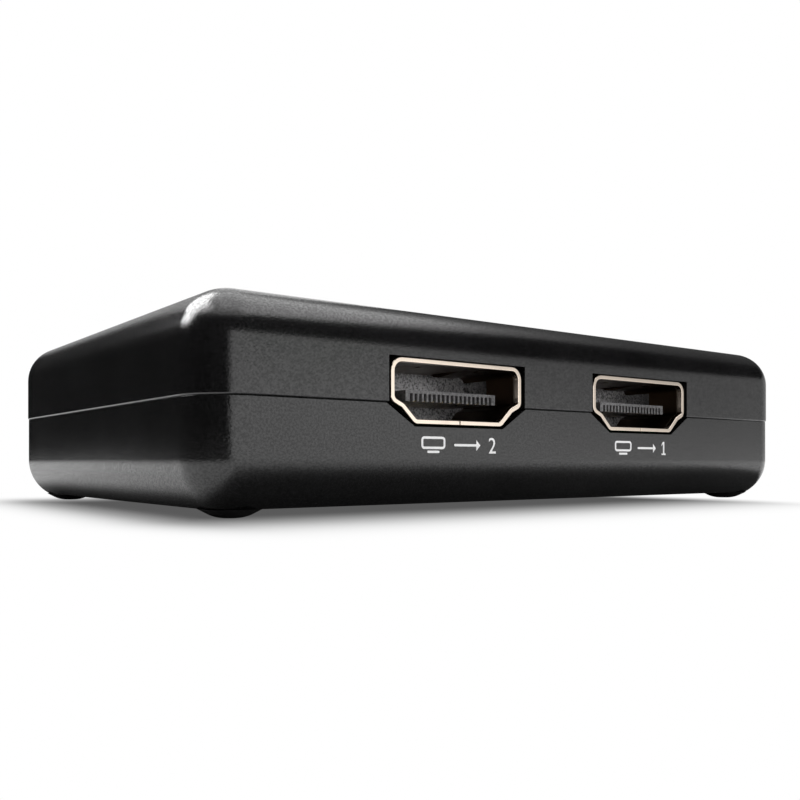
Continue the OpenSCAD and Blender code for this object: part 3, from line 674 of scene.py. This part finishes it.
def post_places():
    """Places of the posts that hold the board."""
    fittings = bpy.context.scene.splitter_fittings
    return [(x, y) for x in (-fittings.post_x, fittings.post_x)
            for y in (-fittings.post_y, fittings.post_y)]


def lamp_places():
    """Places of the lamps along the top."""
    guide = middle("light_guide")
    pitch = bpy.context.scene.splitter_fittings.lamp_pitch
    return [(guide.x + k * pitch, guide.y) for k in (-1, 0, 1)]


def socket_height(name):
    """Height of the middle of a socket."""
    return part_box(name + "_shell")[1].z - bpy.context.scene.splitter_fittings.shell_half


def socket_openings(bm, outline):
    """Cuts for the three sockets through the front and back walls."""
    case = bpy.context.scene.splitter_case
    reach = 1.5 * case.wall
    for name in SOCKETS:
        shell = middle(name + "_shell")
        y = CASE_LOW.y - 0.25 * case.wall if shell.y < 0 else CASE_HIGH.y - 1.25 * case.wall
        slab(bm, [(shell.x + side, z) for side, z in outline], y, reach)


def jack_opening(bm):
    """Cut for the power jack through the back wall."""
    case = bpy.context.scene.splitter_case
    fittings = bpy.context.scene.splitter_fittings
    place = (middle("power_jack_body").x, CASE_HIGH.y - 1.25 * case.wall,
             BOARD_HIGH.z + fittings.jack_rise)
    rod(bm, fittings.jack_radius, place, 1.5 * case.wall, (0, 1, 0))


def off_outline(point, width, depth, radius):
    """Distance of a point from a rounded outline, along the table."""
    x = abs(point.x) - width / 2 + radius
    y = abs(point.y) - depth / 2 + radius
    outside = math.hypot(max(x, 0), max(y, 0))
    return abs(outside + min(max(x, y), 0) - radius)


def soften_outside(bm, width, depth, radius, seam_edge, height=None):
    """Softens the edges of the seam, apertures and holes that lie on the outside of a half."""
    case = bpy.context.scene.splitter_case
    jack_x = middle("power_jack_body").x
    jack_reach = 1.1 * bpy.context.scene.splitter_fittings.jack_radius

    def outside(point):
        on_top = height is not None and abs(point.z - height) < ON_OUTLINE
        return on_top or off_outline(point, width, depth, radius) < ON_OUTLINE

    def on_seam(point):
        return abs(point.z - case.seam) < ON_OUTLINE

    def by_jack(point):
        return point.y > 0 and abs(point.x - jack_x) < jack_reach

    soften(bm, sharp_edges(bm, STEEP, lambda p: outside(p) and on_seam(p)), seam_edge, 5)
    soften(bm, sharp_edges(bm, STEEP, lambda p: outside(p) and by_jack(p)), case.jack_edge, 2)
    soften(bm, sharp_edges(bm, STEEP, lambda p: outside(p) and not by_jack(p)), case.edge)


# Operators


class SPLITTER_OT_upper_case(bpy.types.Operator):
    """Model the upper half of the case with its apertures, lamp holes and bosses"""

    bl_idname = "splitter.upper_case"
    bl_label = "Upper Case"

    def execute(self, context):
        case = context.scene.splitter_case
        fittings = context.scene.splitter_fittings
        width, depth = CASE_HIGH.x - CASE_LOW.x, CASE_HIGH.y - CASE_LOW.y
        straight = CASE_HIGH.z - case.top_round - case.seam
        bm = tray(width, depth, case.corner, straight, case.top_round, math.pi / 2, case.wall, case.steps)
        bmesh.ops.translate(bm, vec=(0, 0, case.seam), verts=bm.verts[:])
        rebate = bmesh.new()
        inset = case.wall - case.lip - case.fit
        block(rebate, width - 2 * inset, depth - 2 * inset, case.corner - inset, case.seam - case.wall,
              case.seam + case.lip_rise + case.fit, case.steps)
        bm = combined(bm, rebate, "DIFFERENCE")
        roof = CASE_HIGH.z - 0.8 * case.wall
        bosses = bmesh.new()
        boss_top = case.seam + case.lip_rise + 2 * case.fit
        for x, y in corner_places():
            rod(bosses, fittings.column, (x, y, boss_top), roof - boss_top)
            rod(bosses, fittings.boss, (x, y, case.seam + case.fit), boss_top - case.seam)
        for x, y in post_places():
            rod(bosses, fittings.post, (x, y, BOARD_HIGH.z), roof - BOARD_HIGH.z)
        bm = combined(bm, bosses, "UNION")
        cuts = bmesh.new()
        top = socket_height("output_1") + fittings.shell_half + fittings.gap_over
        low = case.seam - case.wall
        half = fittings.top_half
        socket_openings(cuts, [(-half, low), (half, low), (half, top), (-half, top)])
        jack_opening(cuts)
        lamp_low = CASE_HIGH.z - 1.5 * case.wall
        for x, y in lamp_places():
            rod(cuts, fittings.lamp_radius, (x, y, lamp_low), 2 * case.wall, segments=48)
        screw_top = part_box("case_screws")[1].z + 4 * case.fit
        for x, y in corner_places():
            rod(cuts, fittings.screw, (x, y, case.seam - case.wall), screw_top - case.seam + case.wall)
        peg_hole = fittings.peg + 2 * case.fit
        for x, y in post_places():
            rod(cuts, peg_hole, (x, y, BOARD_HIGH.z - case.fit), fittings.peg_hole + case.fit)
        bm = combined(bm, cuts, "DIFFERENCE")
        soften_outside(bm, width, depth, case.corner, case.upper_edge, CASE_HIGH.z)
        make_piece("upper_case", bm, "case_black", ["top_cover"])
        return {"FINISHED"}


class SPLITTER_OT_lower_case(bpy.types.Operator):
    """Model the lower half of the case with its lip, apertures, columns and posts"""

    bl_idname = "splitter.lower_case"
    bl_label = "Lower Case"

    def execute(self, context):
        case = context.scene.splitter_case
        fittings = context.scene.splitter_fittings
        width, depth = LOWER_HIGH.x - LOWER_LOW.x, LOWER_HIGH.y - LOWER_LOW.y
        corner = case.corner - (CASE_HIGH.x - LOWER_HIGH.x)
        under = LOWER_LOW.z
        straight = case.seam - under - case.bottom_round * math.sin(case.bottom_turn)
        bm = tray(width, depth, corner, straight, case.bottom_round, case.bottom_turn, case.wall,
                  case.steps)
        bmesh.ops.rotate(bm, cent=(0, 0, 0), matrix=Matrix.Rotation(math.pi, 3, "X"), verts=bm.verts[:])
        bmesh.ops.translate(bm, vec=(0, 0, case.seam), verts=bm.verts[:])
        extras = bmesh.new()
        full_width, full_depth = CASE_HIGH.x - CASE_LOW.x, CASE_HIGH.y - CASE_LOW.y
        inset = case.wall - case.lip
        block(extras, full_width - 2 * inset, full_depth - 2 * inset, case.corner - inset,
              case.seam - case.lip, case.seam + case.lip_rise, case.steps)
        hollow = bmesh.new()
        block(hollow, full_width - 2 * case.wall, full_depth - 2 * case.wall, case.corner - case.wall,
              case.seam - 2 * case.lip, case.seam + 2 * case.lip_rise, case.steps)
        extras = combined(extras, hollow, "DIFFERENCE")
        bm = combined(bm, extras, "UNION")
        stands = bmesh.new()
        floor = under + 0.5 * case.wall
        for x, y in corner_places():
            rod(stands, fittings.column, (x, y, floor), case.seam - floor)
        for x, y in post_places():
            rod(stands, fittings.post, (x, y, floor), BOARD_LOW.z - floor)
            rod(stands, fittings.peg, (x, y, floor), BOARD_HIGH.z + case.lip - floor)
        bm = combined(bm, stands, "UNION")
        cuts = bmesh.new()
        low = socket_height("output_1") - fittings.shell_half - fittings.gap_under
        high = case.seam + 2 * case.lip_rise
        wide, narrow = fittings.seam_half, fittings.bottom_half
        socket_openings(cuts, [(-wide, high), (-wide, case.seam), (-narrow, low), (narrow, low),
                               (wide, case.seam), (wide, high)])
        jack_opening(cuts)
        seat = under + fittings.seat
        for x, y in corner_places():
            rod(cuts, fittings.head, (x, y, under - case.wall), seat - under + case.wall)
            rod(cuts, fittings.screw + case.fit, (x, y, seat - case.fit), case.seam - seat + case.wall)
        bm = combined(bm, cuts, "DIFFERENCE")
        soften_outside(bm, width, depth, corner, case.lower_edge)
        make_piece("lower_case", bm, "case_black", ["bottom_cover"])
        return {"FINISHED"}


class SPLITTER_OT_feet(bpy.types.Operator):
    """Model the four rubber feet with rounded tips"""

    bl_idname = "splitter.feet"
    bl_label = "Feet"

    def execute(self, context):
        fittings = context.scene.splitter_fittings
        bm = bmesh.new()
        profile = [(0, 0), (fittings.foot_tip, 0), (fittings.foot_radius, fittings.foot_height),
                   (fittings.foot_stem, fittings.foot_height), (fittings.foot_stem, FEET_HIGH.z),
                   (0, FEET_HIGH.z)]
        verts = [bm.verts.new((radius, 0, z)) for radius, z in profile]
        edges = [bm.edges.new(pair) for pair in zip(verts, verts[1:])]
        bmesh.ops.spin(bm, geom=verts + edges, cent=(0, 0, 0), axis=UP, angle=2 * math.pi, steps=48,
                       use_merge=True)
        bmesh.ops.remove_doubles(bm, verts=bm.verts[:], dist=MERGE)
        bmesh.ops.recalc_face_normals(bm, faces=bm.faces[:])
        tip = sharp_edges(bm, math.radians(10), lambda p: p.z < MERGE and p.xy.length > MERGE)
        soften(bm, tip, fittings.foot_edge, 8)
        foot = bm.verts[:] + bm.edges[:] + bm.faces[:]
        places = corner_places()
        for place in places[1:]:
            made = bmesh.ops.duplicate(bm, geom=foot)["geom"]
            bmesh.ops.translate(bm, vec=(*place, 0), verts=verts_of(made))
        bmesh.ops.translate(bm, vec=(*places[0], 0), verts=verts_of(foot))
        make_piece("feet", bm, "rubber_black", ["rubber_feet"])
        return {"FINISHED"}


def cheeks(name, fittings):
    """Thin moulded cheeks along the two sides of a socket's opening, in front of its back wall."""
    bm = bmesh.new()
    shell = middle(name + "_shell")
    reach = fittings.opening_depth - fittings.cheek_start
    y = math.copysign(MOUTH_Y - fittings.cheek_start - reach / 2, shell.y)
    z = socket_height(name) + (fittings.cheek_low + fittings.cheek_high) / 2
    size = Matrix.Diagonal((fittings.cheek, reach, fittings.cheek_high - fittings.cheek_low, 1))
    for side in (-1, 1):
        x = shell.x + side * (fittings.opening_half - fittings.cheek / 2)
        bmesh.ops.create_cube(bm, size=1, matrix=Matrix.Translation((x, y, z)) @ size)
    return bm


class SPLITTER_OT_sockets(bpy.types.Operator):
    """Soften the rims of the socket shells, line their sides and finish what is inside them"""

    bl_idname = "splitter.sockets"
    bl_label = "Sockets"

    def execute(self, context):
        fittings = context.scene.splitter_fittings
        for name in SOCKETS:
            node = name + "_shell"
            low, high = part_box(node)
            mouth = low.y if low.y < 0 else high.y
            bm = softened_copy(node, 1, mouth, fittings.rim)
            make_piece(name + "_socket_shell", bm, SLOT_OF[node], [node])
            dress([name + part for part in ("_insulator", "_contacts", "_upper_fingers", "_lower_fingers")])
            make_piece(name + "_cheeks", cheeks(name, fittings), SLOT_OF[name + "_insulator"], [])
        return {"FINISHED"}


class SPLITTER_OT_power_jack(bpy.types.Operator):
    """Soften the nose of the power jack and finish its metal"""

    bl_idname = "splitter.power_jack"
    bl_label = "Power Jack"

    def execute(self, context):
        node = "power_jack_body"
        bm = softened_copy(node, 1, JACK_NOSE, 1.5 * context.scene.splitter_fittings.rim)
        make_piece("power_jack_housing", bm, SLOT_OF[node], [node], material=JACK)
        dress(["power_jack_pin", "power_jack_leaf"])
        return {"FINISHED"}


class SPLITTER_OT_lamps(bpy.types.Operator):
    """Soften the ends of the light guide and finish the lamps"""

    bl_idname = "splitter.lamps"
    bl_label = "Lamps"

    def execute(self, context):
        node = "light_guide"
        bm = softened_copy(node, 2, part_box(node)[1].z, context.scene.splitter_fittings.rim)
        make_piece("lamp_guide", bm, SLOT_OF[node], [node])
        dress(["status_lamps"])
        return {"FINISHED"}


class SPLITTER_OT_board(bpy.types.Operator):
    """Finish the board, the parts on it and the screws"""

    bl_idname = "splitter.board"
    bl_label = "Board"

    def execute(self, context):
        dress(["case_screws", "main_board", "splitter_chip", "memory_chip", "control_chip",
               "voltage_regulators", "choke", "electrolytic_capacitors", "ceramic_capacitors",
               "resistors", "crystal", "protection_arrays"])
        return {"FINISHED"}


def screen_sign(bm, left, marks):
    """An outlined screen on a stand."""
    there = set(bm.verts)
    tall = 0.76 * marks.height
    face = rounded_plate(bm, marks.screen, tall, 1.5 * marks.line, 6)
    bmesh.ops.inset_region(bm, faces=[face], thickness=marks.line, use_even_offset=True, use_boundary=True)
    bmesh.ops.delete(bm, geom=[face], context="FACES_ONLY")
    foot = rounded_plate(bm, 0.5 * marks.screen, marks.line, 0.3 * marks.line, 3)
    bmesh.ops.translate(bm, vec=(0, 0.5 * (tall + marks.line) - marks.height, 0), verts=foot.verts)
    bmesh.ops.translate(bm, vec=(left + marks.screen / 2, marks.height - tall / 2, 0),
                        verts=list(set(bm.verts) - there))


def arrow_sign(bm, left, marks):
    """An arrow that points to the right."""
    there = set(bm.verts)
    head = 0.34 * marks.height
    shaft = rounded_plate(bm, marks.arrow - head, marks.line, 0.3 * marks.line, 3)
    bmesh.ops.translate(bm, vec=((marks.arrow - head) / 2, 0, 0), verts=shaft.verts)
    points = [bm.verts.new(place) for place in ((marks.arrow - head, -head, 0), (marks.arrow, 0, 0),
                                                (marks.arrow - head, head, 0))]
    bm.faces.new(points).normal_update()
    bmesh.ops.translate(bm, vec=(left, marks.height / 2, 0), verts=list(set(bm.verts) - there))


def numeral_one(bm, left, marks):
    """A plain 1 with a flag and a foot."""
    tall, line = marks.height, marks.line
    foot = 0.5 * tall
    stem = 0.5 * (foot - line)
    outline = [(0, 0), (foot, 0), (foot, 0.8 * line), (stem + line, 0.8 * line), (stem + line, tall),
               (stem, tall), (0, tall - stem), (0, tall - stem - line), (stem, tall - line),
               (stem, 0.8 * line), (0, 0.8 * line)]
    bm.faces.new([bm.verts.new((left + x, y, 0)) for x, y in outline]).normal_update()


def numeral(bm, left, digit, marks):
    """A plain number in the usual letter shapes."""
    there = set(bm.verts)
    text = bpy.data.curves.new("numeral", "FONT")
    text.body = digit
    holder = placed("numeral", text)
    graph = bpy.context.evaluated_depsgraph_get()
    mesh = bpy.data.meshes.new_from_object(holder.evaluated_get(graph))
    bm.from_mesh(mesh)
    bpy.data.objects.remove(holder)
    bpy.data.curves.remove(text)
    bpy.data.meshes.remove(mesh)
    verts = list(set(bm.verts) - there)
    low_x, low_y = (min(v.co[k] for v in verts) for k in (0, 1))
    factor = marks.height / (max(v.co.y for v in verts) - low_y)
    bmesh.ops.translate(bm, vec=(-low_x, -low_y, 0), verts=verts)
    bmesh.ops.scale(bm, vec=(factor, factor, 1), verts=verts)
    bmesh.ops.translate(bm, vec=(left, 0, 0), verts=verts)


class SPLITTER_OT_marks(bpy.types.Operator):
    """Print a screen, an arrow and a number under each output"""

    bl_idname = "splitter.marks"
    bl_label = "Marks"

    def execute(self, context):
        marks = context.scene.splitter_marks
        for name, digit in (("output_1", "1"), ("output_2", "2")):
            bm = bmesh.new()
            screen_sign(bm, 0.0, marks)
            arrow_sign(bm, marks.screen + marks.gap, marks)
            left = marks.screen + marks.arrow + 2 * marks.gap
            if digit == "1":
                numeral_one(bm, left, marks)
            else:
                numeral(bm, left, digit, marks)
            bmesh.ops.remove_doubles(bm, verts=bm.verts[:], dist=MERGE)
            row = max(v.co.x for v in bm.verts)
            bmesh.ops.solidify(bm, geom=bm.faces[:], thickness=marks.film)
            turn = Matrix.Rotation(math.pi / 2, 3, "X")
            bmesh.ops.rotate(bm, cent=(0, 0, 0), matrix=turn, verts=bm.verts[:])
            x = middle(name + "_shell").x + marks.shift - row / 2
            y = LOWER_LOW.y - 0.8 * marks.film
            bmesh.ops.translate(bm, vec=(x, y, marks.bottom), verts=bm.verts[:])
            make_piece(name + "_mark", bm, "case_black", [], material=PRINT)
        return {"FINISHED"}


def card(name, surface, distance, bearings, elevations, foot=None):
    """A curved card around the object, between bearings and elevations in degrees, which may lean out."""
    bm = bmesh.new()
    height = CASE_HIGH.z / 2
    start, stop = (math.radians(bearing) for bearing in bearings)
    low, high = (math.radians(elevation) for elevation in elevations)
    ends = [bm.verts.new((away * math.sin(start), -away * math.cos(start), height + away * math.tan(rise)))
            for away, rise in ((foot or distance, low), (distance, high))]
    edge = bm.edges.new(ends)
    bmesh.ops.spin(bm, geom=ends + [edge], cent=(0, 0, 0), axis=UP, angle=stop - start, steps=32)
    mesh = mesh_of(bm, name)
    mesh.materials.append(surface)
    piece = placed(name, mesh)
    piece.visible_camera = False
    piece.visible_shadow = False
    return piece


def glowing(name, build):
    """A material that only gives off light, with its brightness from a function on its nodes."""
    material = bpy.data.materials.new(name)
    shade = Shade(material)
    shade.output(shade.add("Emission", sockets={"Strength": build(shade)}))
    return material


def softbox(name, brightness, bearing, elevation, distance, side):
    """A square lamp that faces the object, with its place in degrees and metres."""
    bearing, elevation = math.radians(bearing), math.radians(elevation)
    lamp = bpy.data.lights.new(name, "AREA")
    lamp.shape = "SQUARE"
    lamp.size = side
    lamp.energy = 4 * side * side * brightness
    holder = placed(name, lamp)
    way = Vector((math.sin(bearing) * math.cos(elevation), -math.cos(bearing) * math.cos(elevation),
                  math.sin(elevation)))
    holder.location = way * distance + Vector((0, 0, CASE_HIGH.z / 2))
    holder.rotation_euler = way.to_track_quat("Z", "Y").to_euler()
    return holder


def off_footprint(shade, place, half, pinch):
    """Distance on the floor from a rounded outline, in nodes, below zero inside it and pinched along X."""
    corner = bpy.context.scene.splitter_case.corner

    def sized(value):
        return shade.add("Math", {"operation": "ABSOLUTE"}, {0: value})

    def larger(first, second):
        return shade.add("Math", {"operation": "MAXIMUM"}, {0: first, 1: second})

    x = pinch * (sized(shade.axis(0) - place[0]) - half[0]) + corner
    y = sized(shade.axis(1) - place[1]) - half[1] + corner
    over_x, over_y = larger(x, 0.0), larger(y, 0.0)
    outside = shade.add("Math", {"operation": "SQRT"}, {0: over_x * over_x + over_y * over_y})
    inside = shade.add("Math", {"operation": "MINIMUM"}, {0: larger(x, y), 1: 0.0})
    return outside + inside - corner


class SPLITTER_OT_stage(bpy.types.Operator):
    """Set up the floor, the light and the camera"""

    bl_idname = "splitter.stage"
    bl_label = "Stage"

    def execute(self, context):
        stage = context.scene.splitter_stage
        context.scene.view_settings.view_transform = "Standard"
        world = bpy.data.worlds.new("studio")
        context.scene.world = world
        shade = Shade(world)
        strength = stage.ambient + (1 - stage.ambient) * shade.flags()
        shade.output(shade.add("Background", sockets={"Strength": strength, "Color": (1, 1, 1)}))
        self.floor(stage)
        self.cards(stage)
        softbox("key_softbox", stage.key, bearing=-147, elevation=44, distance=0.55, side=0.42)
        softbox("overhead_softbox", stage.overhead, bearing=70, elevation=80, distance=0.5, side=0.55)
        fill = softbox("fill_softbox", stage.fill, bearing=28, elevation=7, distance=0.5, side=0.2)
        fill.visible_glossy = False
        glow = softbox("corner_softbox", stage.glow, bearing=-120, elevation=46, distance=0.55, side=0.42)
        glow.visible_diffuse = False
        self.camera(context)
        return {"FINISHED"}

    def floor(self, stage):
        """A wide floor with a painted shadow, which turns into the white backdrop further out."""
        bm = bmesh.new()
        bmesh.ops.create_grid(bm, x_segments=1, y_segments=1, size=FLOOR_HALF)
        material = bpy.data.materials.new("floor_white")
        shade = Shade(material)
        # Painted shadow: the floor's colour is dark near the object and clears outside these outlines
        off_painted_dark_floor = off_footprint(shade, stage.painted_dark_floor_place, stage.painted_dark_floor_half, stage.painted_dark_floor_pinch)
        away = off_footprint(shade, stage.shadow_place, stage.shadow_half, stage.shadow_pinch)
        seen = shade.add("LightPath", out="Is Camera Ray")
        outlined = off_painted_dark_floor + seen * (away - off_painted_dark_floor)
        open_floor = shade.between(outlined, 0.0, stage.shadow_out)
        # Painted shadow in the floor's colour, from the dark colour near the object to the open floor
        tone = shade.blend(open_floor, stage.contact, stage.floor)
        matt = shade.add("BsdfDiffuse", sockets={"Color": tone})
        white = shade.add("Emission", sockets={"Strength": 1.0})
        # Painted shadow as the camera sees it
        clear = shade.between(away, -stage.shadow_in, stage.shadow_out)
        pale = seen * (stage.pale + (1 - stage.pale) * clear)
        backdrop = shade.flags() * shade.between(off_painted_dark_floor, stage.near, stage.far)
        share_white = shade.add("Math", {"operation": "MAXIMUM"}, {0: pale, 1: backdrop})
        shade.output(shade.add("MixShader", sockets={0: share_white, 1: matt, 2: white}))
        mesh = mesh_of(bm, "floor")
        mesh.materials.append(material)
        placed("floor", mesh)

    def cards(self, stage):
        """A white card in front, and dark cards that only gloss sees."""

        def falling(shade):
            x, y = shade.axis(0), shade.axis(1)
            bearing = shade.add("Math", {"operation": "ARCTAN2"}, {0: x, 1: 0.0 - y})
            skewed = bearing + FADE_SKEW * shade.axis(2)
            return stage.reflector * (1 - FADE_SHARE * shade.between(skewed, FADE_START, FADE_STOP))

        def rising(shade):
            return DIM_LOW + DIM_RISE * shade.between(shade.axis(2), DIM_START, DIM_STOP)

        front = glowing("reflector_white", falling)
        black = glowing("flag_black", lambda shade: BLACK_CARD)
        grey = glowing("flag_grey", lambda shade: GREY_CARD)
        dim = glowing("flag_dim", rising)
        far, near, foot = stage.card, stage.flag, stage.flag_foot
        card("front_reflector", front, far, bearings=(-50, 125), elevations=(-1, 13))
        flags = [
            card("edge_flag", black, near, bearings=(-172, -141), elevations=(-2.5, 33)),
            card("left_flag", black, near, bearings=(-141, -130), elevations=(-2.5, 20)),
            card("side_flag", black, near, bearings=(-130, -100), elevations=(-5.5, 20), foot=foot),
            card("corner_flag", black, near, bearings=(-100, -38), elevations=(-5.5, 42), foot=foot),
            card("upper_flag", black, far, bearings=(-50, 82), elevations=(13, 47)),
            card("right_flag", dim, far, bearings=(82, 140), elevations=(13, 54)),
            card("back_flag", grey, far, bearings=(160, 180), elevations=(-1, 40)),
        ]
        for flag in flags:
            flag.visible_diffuse = False
            flag.visible_transmission = False

    def camera(self, context):
        """The camera at the photograph's view."""
        lens = bpy.data.cameras.new("camera")
        lens.sensor_width = SENSOR
        lens.lens = FOCAL_LENGTH
        lens.shift_x, lens.shift_y = LENS_SHIFT
        lens.clip_start = MM
        holder = placed("camera", lens)
        holder.location = CAMERA_PLACE
        holder.rotation_euler = CAMERA_TURN
        context.scene.camera = holder


class SPLITTER_PT_box(bpy.types.Panel):
    """Lists the settings and the operators of the splitter box"""

    bl_idname = "SPLITTER_PT_box"
    bl_label = "Splitter Box"
    bl_space_type = "VIEW_3D"
    bl_region_type = "UI"
    bl_category = "Splitter"

    def draw(self, context):
        for operator in OPERATORS:
            self.layout.operator(operator.bl_idname)
        for name, group in GROUPS.items():
            column = self.layout.column(align=True)
            column.label(text=group.__doc__)
            for setting in group.__annotations__:
                column.prop(getattr(context.scene, name), setting)


GROUPS = {"splitter_case": SplitterCase, "splitter_fittings": SplitterFittings,
          "splitter_marks": SplitterMarks, "splitter_colours": SplitterColours,
          "splitter_stage": SplitterStage}
OPERATORS = (SPLITTER_OT_upper_case, SPLITTER_OT_lower_case, SPLITTER_OT_feet, SPLITTER_OT_sockets,
             SPLITTER_OT_power_jack, SPLITTER_OT_lamps, SPLITTER_OT_board, SPLITTER_OT_marks,
             SPLITTER_OT_stage)


def register():
    for name, group in GROUPS.items():
        bpy.utils.register_class(group)
        setattr(bpy.types.Scene, name, PointerProperty(type=group))
    for item in (*OPERATORS, SPLITTER_PT_box):
        bpy.utils.register_class(item)


def unregister():
    for item in (SPLITTER_PT_box, *reversed(OPERATORS)):
        bpy.utils.unregister_class(item)
    for name, group in GROUPS.items():
        delattr(bpy.types.Scene, name)
        bpy.utils.unregister_class(group)


def main():
    """Builds everything in order."""
    register()
    bpy.ops.splitter.upper_case()
    bpy.ops.splitter.lower_case()
    bpy.ops.splitter.feet()
    bpy.ops.splitter.sockets()
    bpy.ops.splitter.power_jack()
    bpy.ops.splitter.lamps()
    bpy.ops.splitter.board()
    bpy.ops.splitter.marks()
    bpy.ops.splitter.stage()


if __name__ == "__main__":
    main()
